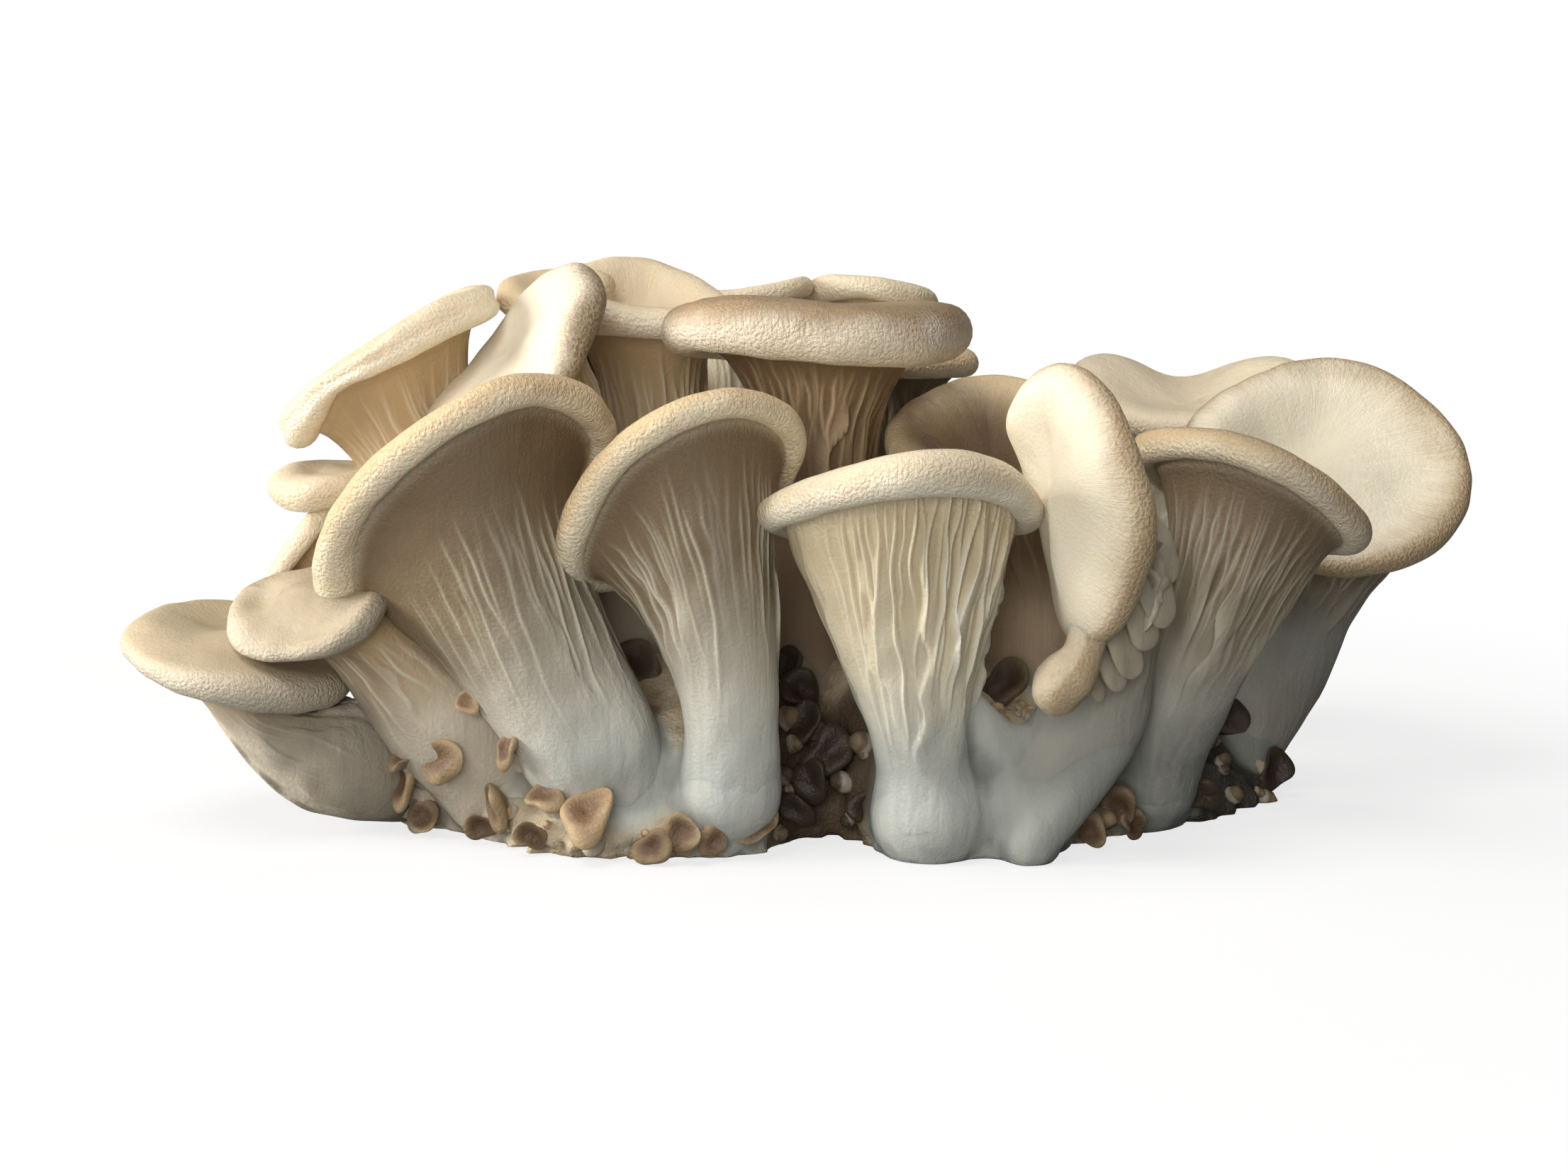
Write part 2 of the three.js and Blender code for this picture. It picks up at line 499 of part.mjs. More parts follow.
/** Adds a named piece, cut back from all the pieces that came before it. */
function place(name, geometries, colour) {
  let solid = united(geometries).trimByPlane([0, 0, 1], 0);
  const box = new THREE.Box3();
  for (const geometry of geometries) {
    geometry.computeBoundingBox();
    box.union(geometry.boundingBox);
  }
  for (const neighbour of taken) {
    if (neighbour.box.intersectsBox(box)) solid = solid.subtract(neighbour.solid);
  }
  const pieces = solid.decompose().sort((a, b) => b.volume() - a.volume());
  const grown = united(geometries.map((geometry) => swollen(geometry, CONTACT_GAP)));
  taken.push({ solid: grown, box: box.clone().expandByScalar(CONTACT_GAP) });
  const mesh = new THREE.Mesh(geometryOf(pieces[0]), new THREE.MeshStandardMaterial({
    color: COLOURS[colour], roughness: 0.7, metalness: 0,
  }));
  mesh.name = name;
  cluster.add(mesh);
}

place('cut_base', [baseGeometry()], 'base');
for (const [name, spec] of Object.entries(MUSHROOMS)) {
  const shapes = [skinOver(fruitBodyRings(spec))];
  if (spec.knob) shapes.push(skinOver(barRings(spec.knob)));
  place(`mushroom_${name}`, shapes, spec.skin);
}
for (const [name, spec] of Object.entries(PINS)) {
  place(`pin_${name}`, [pinGeometry(spec)], 'pin');
}

export default cluster;
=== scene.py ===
"""A cluster of oyster mushrooms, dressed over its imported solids.

Sizes in the classes are in millimetres from the middle of the flat cut that the cluster stands
on: X runs along its wide front, Y from front to back, Z up. Meshes are in metres.
"""

from __future__ import annotations

import logging
import math
from dataclasses import dataclass, field
from enum import Enum
from typing import Callable, Iterator

import bmesh
import bpy
import numpy as np
from mathutils import Matrix, Vector


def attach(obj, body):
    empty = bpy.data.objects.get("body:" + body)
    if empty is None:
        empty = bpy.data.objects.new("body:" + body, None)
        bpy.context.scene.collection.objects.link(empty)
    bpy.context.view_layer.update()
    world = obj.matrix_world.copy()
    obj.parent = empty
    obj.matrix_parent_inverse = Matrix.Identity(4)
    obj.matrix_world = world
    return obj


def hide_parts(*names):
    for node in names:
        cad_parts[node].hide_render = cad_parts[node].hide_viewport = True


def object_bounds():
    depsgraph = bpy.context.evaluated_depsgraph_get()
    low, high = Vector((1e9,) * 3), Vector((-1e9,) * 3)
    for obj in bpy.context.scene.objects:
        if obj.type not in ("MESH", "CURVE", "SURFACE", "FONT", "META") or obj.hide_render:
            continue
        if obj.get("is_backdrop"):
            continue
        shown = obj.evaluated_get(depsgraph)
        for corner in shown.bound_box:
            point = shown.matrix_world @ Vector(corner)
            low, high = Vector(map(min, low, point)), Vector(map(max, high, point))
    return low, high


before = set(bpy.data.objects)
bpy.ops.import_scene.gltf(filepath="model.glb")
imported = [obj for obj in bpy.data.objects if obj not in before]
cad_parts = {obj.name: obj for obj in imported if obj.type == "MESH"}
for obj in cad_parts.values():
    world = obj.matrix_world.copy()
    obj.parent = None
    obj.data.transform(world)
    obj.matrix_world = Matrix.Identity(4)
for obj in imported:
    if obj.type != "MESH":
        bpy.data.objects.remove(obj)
CAD_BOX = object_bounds()

LOG = logging.getLogger("oyster_cluster")
MM = 0.001
TURN = 2 * math.pi
WELD = 1e-8
SPLINE_PASSES = 40
CAP_STEPS = 7

Array = np.ndarray
Piece = bpy.types.Object
Material = bpy.types.Material
Point = tuple[float, ...]
Colour = tuple[float, float, float]
Span = tuple[float, float]
Socket = bpy.types.NodeSocket
Value = float | tuple | Socket


# ------------------------------------------------------------------ curves and noise


def smooth(low: float, high: float, value: Array) -> Array:
    """Eases from 0 at low to 1 at high.

    Args:
        low: where the ease starts.
        high: where it ends.
        value: numbers to ease.

    Returns:
        The eased numbers, from 0 to 1.
    """
    t = np.clip((value - low) / (high - low), 0.0, 1.0)
    return t * t * (3.0 - 2.0 * t)


def wrapped(turns: Array) -> Array:
    """Brings differences between places round a ring to between -0.5 and 0.5."""
    return (turns + 0.5) % 1.0 - 0.5


def unit(vectors: Array) -> Array:
    """Scales vectors, whose last axis is x, y, z, to length 1."""
    return vectors / np.maximum(np.linalg.norm(vectors, axis=-1, keepdims=True), 1e-12)


def across(direction: Array, axis: Array) -> Array:
    """Takes the part along an axis out of directions, and scales the rest to length 1."""
    return unit(direction - (direction * axis).sum(-1, keepdims=True) * axis)


def bezier(points: list[Array], t: Array) -> Array:
    """Follows cubic Bezier curves.

    Args:
        points: four control points, or four arrays of them.
        t: shares of the way along, one row of the result each.

    Returns:
        The points reached, with t as the first axis.
    """
    first, second, third, last = (np.asarray(p, float)[None] for p in points)
    t = t.reshape((-1,) + (1,) * (first.ndim - 1))
    s = 1.0 - t
    return s**3 * first + 3 * s**2 * t * second + 3 * s * t**2 * third + t**3 * last


def closed_spline(points: Array) -> Callable[[Array], Array]:
    """Draws a smooth closed curve through points.

    Args:
        points: the points, in order.

    Returns:
        A function from places along the curve, counted in points, to positions.
    """
    tangents = (np.roll(points, -1, 0) - np.roll(points, 1, 0)) / 2
    for _ in range(SPLINE_PASSES):
        for i in range(len(points)):
            after = (i + 1) % len(points)
            chord = 3 * (points[after] - points[i - 1])
            tangents[i] = (chord - tangents[i - 1] - tangents[after]) / 4

    def curve(u: Array) -> Array:
        """Places points along the closed curve.

        Args:
            u: places along it, counted in points.

        Returns:
            Their positions.
        """
        i = np.floor(u).astype(int) % len(points)
        after = (i + 1) % len(points)
        t = (u - np.floor(u))[:, None]
        return (
            points[i] * (2 * t**3 - 3 * t**2 + 1)
            + tangents[i] * (t**3 - 2 * t**2 + t)
            + points[after] * (3 * t**2 - 2 * t**3)
            + tangents[after] * (t**3 - t**2)
        )

    return curve


def rounded(points: list[Point], times: int = 2) -> Array:
    """Rounds the corners of an open line by cutting them again and again.

    Args:
        points: the line's points.
        times: how often its corners are cut.

    Returns:
        The rounded line's points, with the same two ends.
    """
    line = np.array(points, float)
    for _ in range(times):
        near = line[:-1] * 0.75 + line[1:] * 0.25
        far = line[:-1] * 0.25 + line[1:] * 0.75
        cut = np.stack([near, far], 1).reshape(-1, line.shape[1])
        line = np.vstack([line[:1], cut[1:-1], line[-1:]])
    return line


def hash_of(name: str) -> int:
    """Turns a name into a number that stays the same from run to run."""
    return sum((i + 1) * ord(letter) for i, letter in enumerate(name))


class Ripple:
    """Smooth seeded noise: plane waves in random directions, added up."""

    # the shortest and the longest wave as shares of the mean, and what brings the sum to -1 to 1
    LENGTHS = (0.7, 1.6)
    RANGE = 1.5

    def __init__(self, wavelength: float, seed: int, waves: int = 24) -> None:
        """Draws the waves.

        Args:
            wavelength: the waves' mean length, in millimetres.
            seed: the same seed gives the same noise.
            waves: how many are added.
        """
        draw = np.random.default_rng(seed)
        lengths = wavelength * draw.uniform(*self.LENGTHS, (waves, 1))
        self.waves = unit(draw.normal(size=(waves, 3))) * TURN / lengths
        self.phases = draw.uniform(0, TURN, waves)

    def __call__(self, points: Array) -> Array:
        """Reads the noise at points, as numbers of about -1 to 1."""
        turns = points @ self.waves.T + self.phases
        return np.cos(turns).mean(-1) * math.sqrt(len(self.phases)) / self.RANGE


# ------------------------------------------------------------------ meshes


def placed(name: str, data: bpy.types.ID) -> Piece:
    """Makes an object of a mesh, a light or a camera, and puts it in the scene.

    Args:
        name: the object's name.
        data: the mesh, the light or the camera.

    Returns:
        The object.
    """
    made = bpy.data.objects.new(name, data)
    bpy.context.scene.collection.objects.link(made)
    return made


def baked(name: str, shape: bmesh.types.BMesh) -> bpy.types.Mesh:
    """Makes a mesh of a shape, and frees the shape.

    Args:
        name: the mesh's name.
        shape: the shape.

    Returns:
        The mesh.
    """
    mesh = bpy.data.meshes.new(name)
    shape.to_mesh(mesh)
    shape.free()
    return mesh


def note(mesh: bpy.types.Mesh, label: str, numbers: Array) -> None:
    """Keeps a number at each of a mesh's points, as an attribute."""
    attribute = mesh.attributes.new(label, "FLOAT", "POINT")
    attribute.data.foreach_set("value", numbers.astype(np.float32))


def vectors(mesh: bpy.types.Mesh, kind: str) -> Array:
    """Reads the places or the normals of a mesh's points.

    Args:
        mesh: the mesh.
        kind: "co" for places, or "normal" for normals.

    Returns:
        A row of x, y, z for each point.
    """
    flat = np.empty(len(mesh.vertices) * 3)
    mesh.vertices.foreach_get(kind, flat)
    return flat.reshape(-1, 3)


def wrap_grid(name: str, rows: Array, values: dict[str, Array]) -> Piece:
    """Wraps a grid over rows of points that run between two poles.

    Args:
        name: the new piece's name.
        rows: points in millimetres, as rows from pole to pole, columns round, and x, y, z.
        values: numbers kept as attributes of the points, each as rows and columns.

    Returns:
        The closed piece, with a UV map of columns by rows.
    """
    count, around = rows.shape[:2]
    grid = bmesh.new()
    grid.loops.layers.uv.new("UVMap")
    bmesh.ops.create_grid(grid, x_segments=around, y_segments=count - 1, size=1.0, calc_uvs=True)
    mesh = baked(name, grid)

    share = (vectors(mesh, "co") + 1.0) / 2.0
    column = np.rint(share[:, 0] * around).astype(int) % around
    row = np.rint(share[:, 1] * (count - 1)).astype(int)
    mesh.vertices.foreach_set("co", (rows[row, column] * MM).ravel())
    for label, numbers in values.items():
        note(mesh, label, numbers[row, column])

    skin = bmesh.new()
    skin.from_mesh(mesh)
    bmesh.ops.remove_doubles(skin, verts=skin.verts, dist=WELD)
    skin.to_mesh(mesh)
    skin.free()
    mesh.shade_smooth()
    return placed(name, mesh)


def grid_normals(rows: Array) -> Array:
    """Works out which way the skin faces at every point of its rows.

    Args:
        rows: points as rows, columns and x, y, z.

    Returns:
        Unit normals in the same layout.
    """
    around = np.roll(rows, -1, 1) - np.roll(rows, 1, 1)
    along = np.gradient(rows, axis=0)
    return unit(np.cross(around, along))


def bar_rows(spine: Array, sizes: Array, around: int, blunt: float = 1.0) -> Array:
    """Lays rows round a line, closed by a cap at each end.

    Args:
        spine: the line's points.
        sizes: the bar's radius at each point.
        around: how many points a row has.
        blunt: how round the last cap is, from 0 for flat to 1 for half a ball.

    Returns:
        The points as rows, columns and x, y, z.
    """
    tangents = unit(np.gradient(spine, axis=0))
    sides = carried(tangents)
    angle = np.arange(around) / around * TURN
    cap = np.linspace(0, math.pi / 2, CAP_STEPS)
    last = len(spine) - 1
    stations = [(0, -math.cos(a), math.sin(a)) for a in cap]
    stations += [(i, 0.0, 1.0) for i in range(1, last)]
    stations += [(last, math.sin(a) * blunt, math.cos(a)) for a in cap]
    rows = []
    for i, push, share in stations:
        other = np.cross(tangents[i], sides[i])
        ring = np.cos(angle)[:, None] * sides[i] + np.sin(angle)[:, None] * other
        rows.append(spine[i] + tangents[i] * push * sizes[i] + ring * share * sizes[i])
    return np.array(rows)


def carried(tangents: Array) -> Array:
    """Carries a sideways direction along a line without twisting it.

    Args:
        tangents: the line's directions, from its start to its end.

    Returns:
        A direction square to each tangent.
    """
    start = np.array([1.0, 0.0, 0.0]) if abs(tangents[0][0]) < 0.8 else np.array([0.0, 1.0, 0.0])
    sides = [across(start, tangents[0])]
    for tangent in tangents[1:]:
        sides.append(across(sides[-1], tangent))
    return np.array(sides)


def add_piece(piece: Piece, material: Material, slot: str, *nodes: str) -> None:
    """Paints a finished piece and puts it on the frame in place of CAD nodes.

    Args:
        piece: the piece.
        material: what it is made of.
        slot: the record's material slot for it; not used.
        nodes: the CAD nodes that it stands for.
    """
    piece.data.materials.append(material)
    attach(piece, "root")
    if nodes:
        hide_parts(*nodes)
    LOG.info("%s: %d faces", piece.name, len(piece.data.polygons))


# ------------------------------------------------------------------ finishes


class Wiring:
    """Short calls for adding nodes to a material or a group."""

    # a mix node's factor and two colours among its inputs, and its colour among its outputs
    MIX_INPUTS = (0, 6, 7)
    MIX_OUTPUT = 2

    def __init__(self, tree: bpy.types.NodeTree) -> None:
        """Keeps the tree that nodes are added to."""
        self.tree = tree

    def feed(self, value: Value, target: Socket) -> None:
        """Links a socket to an input, or sets the input to a plain value.

        Args:
            value: an output socket, a number or a vector.
            target: the input.
        """
        if isinstance(value, Socket):
            self.tree.links.new(value, target)
        else:
            target.default_value = value

    def add(self, kind: str, inputs: dict | None = None, **settings: object) -> bpy.types.Node:
        """Adds one node.

        Args:
            kind: the node's type, without its ShaderNode prefix.
            inputs: values or output sockets for its inputs, by name or number.
            settings: the node's own options.

        Returns:
            The new node.
        """
        node = self.tree.nodes.new("ShaderNode" + kind)
        for key, value in settings.items():
            setattr(node, key, value)
        for key, value in (inputs or {}).items():
            self.feed(value, node.inputs[key])
        return node

    def ends(self) -> tuple[bpy.types.Node, bpy.types.Node]:
        """Adds a group's input and output nodes."""
        return self.tree.nodes.new("NodeGroupInput"), self.tree.nodes.new("NodeGroupOutput")

    def group(self, tree: bpy.types.NodeTree, **inputs: float) -> bpy.types.bpy_prop_collection:
        """Adds a group, and returns its outputs."""
        return self.add("Group", inputs, node_tree=tree).outputs

    def read(self, label: str) -> Socket:
        """Reads a number that the piece keeps at its points."""
        return self.add("Attribute", attribute_name=label).outputs["Fac"]

    def place(self) -> Socket:
        """Reads the place on the object, in metres."""
        return self.add("TexCoord").outputs["Object"]

    def math(self, operation: str, *values: Value) -> Socket:
        """Does one sum on values or sockets, and returns its output."""
        return self.add("Math", dict(enumerate(values)), operation=operation).outputs[0]

    def times(self, first: Value, second: Value) -> Socket:
        """Multiplies two values."""
        return self.math("MULTIPLY", first, second)

    def plus(self, first: Value, second: Value) -> Socket:
        """Adds two values."""
        return self.math("ADD", first, second)

    def swing(self, mask: Socket, size: float) -> Socket:
        """Turns a mask of 0 to 1 into a swing about 0."""
        return self.times(self.math("SUBTRACT", mask, 0.5), size)

    def ramp(self, value: Value, low: Value, high: Value, start: float = 0.0, end: float = 1.0) -> Socket:
        """Eases a value from start to end as it goes from low to high."""
        given = {"Value": value, "From Min": low, "From Max": high, "To Min": start, "To Max": end}
        return self.add("MapRange", given, interpolation_type="SMOOTHSTEP").outputs["Result"]

    def mix(self, factor: Value, first: Value, second: Value) -> Socket:
        """Mixes two colours, and returns the colour's output."""
        given = dict(zip(self.MIX_INPUTS, (factor, solid(first), solid(second))))
        return self.add("Mix", given, data_type="RGBA").outputs[self.MIX_OUTPUT]


def solid(colour: Value) -> Value:
    """Gives a plain colour its alpha, and leaves a socket as it is."""
    return (*colour, 1.0) if isinstance(colour, tuple) else colour


def linear(red: int, green: int, blue: int) -> Colour:
    """Turns a colour given in display steps into linear light, by the usual display curve.

    Args:
        red: its red, from 0 to 255.
        green: its green, from 0 to 255.
        blue: its blue, from 0 to 255.

    Returns:
        Linear red, green and blue, from 0 to 1.
    """
    shares = (step / 255 for step in (red, green, blue))
    return tuple(s / 12.92 if s <= 0.04045 else ((s + 0.055) / 1.055) ** 2.4 for s in shares)


def new_group(name: str, inputs: dict[str, float], outputs: tuple[str, ...]) -> Wiring:
    """Starts a shader node group.

    Args:
        name: its name.
        inputs: its inputs, all of them numbers, and their usual values.
        outputs: its outputs, all of them numbers.

    Returns:
        Wiring for the group's tree.
    """
    tree = bpy.data.node_groups.new(name, "ShaderNodeTree")
    for label, value in inputs.items():
        socket = tree.interface.new_socket(label, in_out="INPUT", socket_type="NodeSocketFloat")
        socket.default_value = value
    for label in outputs:
        tree.interface.new_socket(label, in_out="OUTPUT", socket_type="NodeSocketFloat")
    return Wiring(tree)


def new_material(name: str) -> tuple[Material, Wiring]:
    """Starts a material.

    Args:
        name: its name.

    Returns:
        The material, and wiring for its tree.
    """
    made = bpy.data.materials.new(name)
    made.use_nodes = True
    return made, Wiring(made.node_tree)


@dataclass(frozen=True)
class Body:
    """How a flesh takes light under its colour, and how deep its grain is. Lengths are in metres."""

    scatter: float = 0.25
    tint: Colour = (1.0, 0.6, 0.35)
    depth: float = 0.003
    shine: float = 0.5
    bump: float = 0.6
    grain: float = 0.0003

    def paint(self, w: Wiring, colour: Socket, height: Socket, roughness: Value) -> None:
        """Feeds a material's shader.

        Args:
            w: wiring for the material's tree.
            colour: its colour.
            height: its grain, as a height.
            roughness: its roughness.
        """
        shader = w.tree.nodes["Principled BSDF"]
        bump = w.add("Bump", {"Strength": self.bump, "Distance": self.grain, "Height": height})
        feeds = {
            "Base Color": colour, "Roughness": roughness, "Normal": bump.outputs["Normal"],
            "Subsurface Weight": self.scatter, "Subsurface Radius": self.tint,
            "Subsurface Scale": self.depth, "Specular IOR Level": self.shine,
        }
        for label, value in feeds.items():
            w.feed(value, shader.inputs[label])


@dataclass(frozen=True)
class Hollow:
    """A place that is hidden from the light, as an ellipsoid, where the flesh takes painted shade."""

    centre: Point
    radii: Point
    # the shares of the radii at which the painted shade begins and is full
    reach: Span


# where painted deep shade darkens the middle of the cluster and the gap in front
HEART = Hollow((9.3, -4.8, 40.0), (66.7, 40.0, 50.0), (1.0, 0.45))
GAP = Hollow((6.0, -48.0, 15.0), (20.0, 16.0, 25.0), (1.05, 0.6))


class Effects:
    """The effects that every flesh shares, as node groups built once."""

    # the noise that gives 0 and the noise that gives 1 in an even mask
    EVEN = (0.3, 0.7)
    # how far streaks are drawn out upwards, and how many there are to a metre
    UPRIGHT = (1.0, 1.0, 0.14)
    STREAKS = 420.0
    # the axis along which each side of the cluster begins and is full, and where: low down the feet's
    # grey is partly painted shade, and the two sides on the right take painted shade
    SIDES = {
        "Low": ("Z", 36.0, 15.0), "Side": ("X", 20.0, 60.0), "Warm": ("X", -36.0, -60.0),
        "RightShade": ("X", 55.0, 80.0),
    }

    def __init__(self) -> None:
        """Builds the groups."""
        self.fibres = self._fibres()
        self.mottle = self._mottle()
        self.heart = self._heart()
        self.streaks = self._streaks()

    @staticmethod
    def _fibres() -> bpy.types.NodeTree:
        """Fibres that lie along a fruit body's meridians, from its UV map.

        Returns:
            The group.
        """
        w = new_group("meridian_fibres", {"Around": 40.0, "Along": 20.0, "Contrast": 0.25}, ("Mask",))
        source, sink = w.ends()
        parts = w.add("SeparateXYZ", {"Vector": w.add("UVMap", uv_map="UVMap").outputs["UV"]})
        turn = w.times(parts.outputs["X"], TURN)
        ring = {
            "X": w.times(w.math("COSINE", turn), source.outputs["Around"]),
            "Y": w.times(w.math("SINE", turn), source.outputs["Around"]),
            "Z": w.times(parts.outputs["Y"], source.outputs["Along"]),
        }
        place = w.add("CombineXYZ", ring).outputs["Vector"]
        noise = w.add("TexNoise", {"Vector": place, "Scale": 1.0, "Detail": 2.0, "Roughness": 0.55})
        low = w.math("SUBTRACT", 0.5, source.outputs["Contrast"])
        high = w.plus(0.5, source.outputs["Contrast"])
        w.feed(w.ramp(noise.outputs["Fac"], low, high), sink.inputs["Mask"])
        return w.tree

    def _mottle(self) -> bpy.types.NodeTree:
        """Soft blotches through space, with a coarse and a fine mask.

        Returns:
            The group.
        """
        w = new_group("soft_mottle", {"Coarse": 90.0, "Fine": 1500.0}, ("Blotch", "Grain"))
        source, sink = w.ends()
        place = w.place()
        for label, scale, detail in (("Blotch", "Coarse", 4.0), ("Grain", "Fine", 2.0)):
            given = {"Vector": place, "Scale": source.outputs[scale], "Detail": detail}
            noise = w.add("TexNoise", given)
            w.feed(w.ramp(noise.outputs["Fac"], *self.EVEN), sink.inputs[label])
        return w.tree

    @staticmethod
    def _heart() -> bpy.types.NodeTree:
        """How deep a point lies inside the cluster, or in the gap in front, where it takes painted shade.

        Returns:
            The group.
        """
        w = new_group("deep_shade_heart", {}, ("Depth", "Gap"))
        _, sink = w.ends()
        place = w.place()
        for label, hollow in {"Depth": HEART, "Gap": GAP}.items():
            scale = 1.0 / (np.array(hollow.radii) * MM)
            shift = -np.array(hollow.centre) * MM * scale
            given = {"Vector": place, "Location": tuple(shift), "Scale": tuple(scale)}
            scaled = w.add("Mapping", given, vector_type="POINT").outputs["Vector"]
            length = w.add("VectorMath", {0: scaled}, operation="LENGTH").outputs["Value"]
            w.feed(w.ramp(length, *hollow.reach), sink.inputs[label])
        return w.tree

    def _streaks(self) -> bpy.types.NodeTree:
        """Upright streaks, how low a point lies, and how far to the warm side and to the two right sides
        that take painted shade.

        Returns:
            The group.
        """
        w = new_group("foot_streaks", {}, ("Streak", *self.SIDES))
        _, sink = w.ends()
        place = w.place()
        upright = w.add("Mapping", {"Vector": place, "Scale": self.UPRIGHT}).outputs["Vector"]
        noise = w.add("TexNoise", {"Vector": upright, "Scale": self.STREAKS, "Detail": 3.0})
        w.feed(w.ramp(noise.outputs["Fac"], *self.EVEN), sink.inputs["Streak"])
        parts = w.add("SeparateXYZ", {"Vector": place})
        for label, (axis, start, full) in self.SIDES.items():
            w.feed(w.ramp(parts.outputs[axis], start * MM, full * MM), sink.inputs[label])
        return w.tree


@dataclass(frozen=True)
class Flesh:
    """The finish of one kind of fruit body, from its foot to the middle of its cap."""

    name: str
    stem: Colour
    crest: Colour
    valley: Colour
    # the painted shade under the lip, over the gills
    lip_shadow: Colour
    lip: Colour
    edge: Colour
    top: Colour
    # the feet's cool grey low down: partly their own colour, partly painted shade
    foot: Colour = linear(184, 187, 180)
    # painted shade on the feet towards the right
    side_shade: Colour = linear(150, 153, 145)
    warm: Colour = linear(204, 193, 172)
    # the brown of painted deep shade inside the cluster
    deep_shade: Colour = linear(120, 92, 66)
    # the colour that a fruit body's painted shade mixes in
    painted_shade: Colour = linear(66, 54, 40)
    # the zones over which the lip takes its edge's colour, and the edge the top's
    blush: Span = (2.35, 2.7)
    fade: Span = (2.6, 3.0)

    # the zones over which each part's colour begins, the painted shade under the lip among them
    GILLS = (0.9, 1.6)
    VALLEY_FADE = (1.35, 1.9)
    LIP_SHADOW = (1.65, 1.95)
    LIP = (1.94, 2.08)
    # how far fine fibres and blotches move the cap's bands of colour, in zones
    RAGGED = 0.07
    CLOUD = 0.12
    # how much of a colour the fibres, the painted shade under the lip, the grain, the streaks and the
    # painted deep shade put on
    FIBRE_SHARE = 0.2
    LIP_SHADOW_SHARE = 0.75
    GRAIN_SHARE = 0.3
    STREAK_SHARE = 0.22
    DEEP_SHADE_SHARE = 0.65
    # the roughness between the finest grains and on them
    ROUGHNESS = (0.42, 0.6)
    # two zones and what each ramp goes from and to: how much smoother the cap is, and how high the
    # pebbles, the fibres and the streaks stand
    SMOOTHER = (1.9, 2.2, 0.0, -0.1)
    PEBBLES = (1.85, 2.15, 0.35, 1.8)
    PEBBLES_END = (2.6, 3.1, 0.0, -1.4)
    FIBRES = (1.8, 2.3, 0.22, 0.4)
    STREAKS = (1.0, 2.0, 0.9, 0.4)

    def material(self, effects: Effects) -> Material:
        """Builds the material.

        Args:
            effects: the shared node groups.

        Returns:
            The material, which reads the piece's UV map, zone, relief and shade.
        """
        made, w = new_material(self.name)
        zone = w.read("zone")
        mottle = w.group(effects.mottle)
        streaks = w.group(effects.streaks)
        grain = mottle["Grain"]
        fine = self._fibres(w, effects, 90.0, 16.0)
        ragged = w.swing(fine, self.RAGGED)
        cloud = w.swing(mottle["Blotch"], self.CLOUD)
        feathered = w.plus(w.plus(zone, ragged), cloud)

        long = w.times(self._fibres(w, effects, 16.0, 5.0), self.FIBRE_SHARE)
        stem = w.mix(long, self.stem, self.valley)
        # valleys take the painted shade under the lip near it; pale crests and dark valleys are partly the
        # gills' own colour, partly painted shade in the grooves
        valley = w.mix(w.ramp(zone, *self.VALLEY_FADE), self.valley, self.lip_shadow)
        gills = w.mix(w.read("relief"), valley, self.crest)
        colour = w.mix(w.ramp(zone, *self.GILLS), stem, gills)
        # painted shade under the lip
        colour = w.mix(w.ramp(zone, *self.LIP_SHADOW, 0.0, self.LIP_SHADOW_SHARE), colour, self.lip_shadow)
        lip = w.mix(w.ramp(feathered, *self.blush), self.lip, self.edge)
        lip = w.mix(w.times(grain, self.GRAIN_SHARE), lip, self.crest)
        colour = w.mix(w.ramp(zone, *self.LIP), colour, lip)
        colour = w.mix(w.ramp(feathered, *self.fade), colour, self.top)
        # the feet: painted shade to the right, a warm tint to the left, and a grey low down that is partly
        # painted shade
        foot = w.mix(streaks["Side"], self.foot, self.side_shade)
        foot = w.mix(streaks["Warm"], foot, self.warm)
        foot = w.mix(w.times(streaks["Streak"], self.STREAK_SHARE), foot, self.stem)
        colour = w.mix(streaks["Low"], colour, foot)
        # painted deep shade inside the cluster
        heart = w.group(effects.heart)["Depth"]
        colour = w.mix(w.times(heart, self.DEEP_SHADE_SHARE), colour, self.deep_shade)
        # painted shade, set for each fruit body and stronger on its right side
        colour = w.mix(w.read("shade"), colour, self.painted_shade)

        rough = w.ramp(grain, 0.0, 1.0, *self.ROUGHNESS)
        rough = w.plus(rough, w.ramp(zone, *self.SMOOTHER))
        Body().paint(w, colour, self._height(w, zone, grain, fine, streaks["Streak"]), rough)
        return made

    @staticmethod
    def _fibres(w: Wiring, effects: Effects, around: float, along: float) -> Socket:
        """Adds the fibre group with its own counts, and returns its mask."""
        return w.group(effects.fibres, Around=around, Along=along)["Mask"]

    def _height(self, w: Wiring, zone: Socket, grain: Socket, fine: Socket, streak: Socket) -> Socket:
        """Adds up the skin's grain: pebbles on the lip, fibres on the cap, streaks on the stem.

        Args:
            w: wiring for the material's tree.
            zone: the piece's zones.
            grain: the finest noise.
            fine: the finest fibres.
            streak: the upright streaks.

        Returns:
            The height.
        """
        coarse = w.plus(w.ramp(zone, *self.PEBBLES), w.ramp(zone, *self.PEBBLES_END))
        skin = w.times(fine, w.ramp(zone, *self.FIBRES))
        streaked = w.times(streak, w.ramp(zone, *self.STREAKS))
        return w.plus(w.plus(w.times(grain, coarse), skin), streaked)


class Skin(Enum):
    """The finishes of the fruit bodies, each with the record's slot name."""

    CREAM = "flesh_cream"
    TAN = "flesh_tan"
    GOLD = "flesh_gold"
    PALE = "flesh_pale"
    TOAST = "flesh_toast"
    GREY = "flesh_grey"
    BROWN = "flesh_brown"


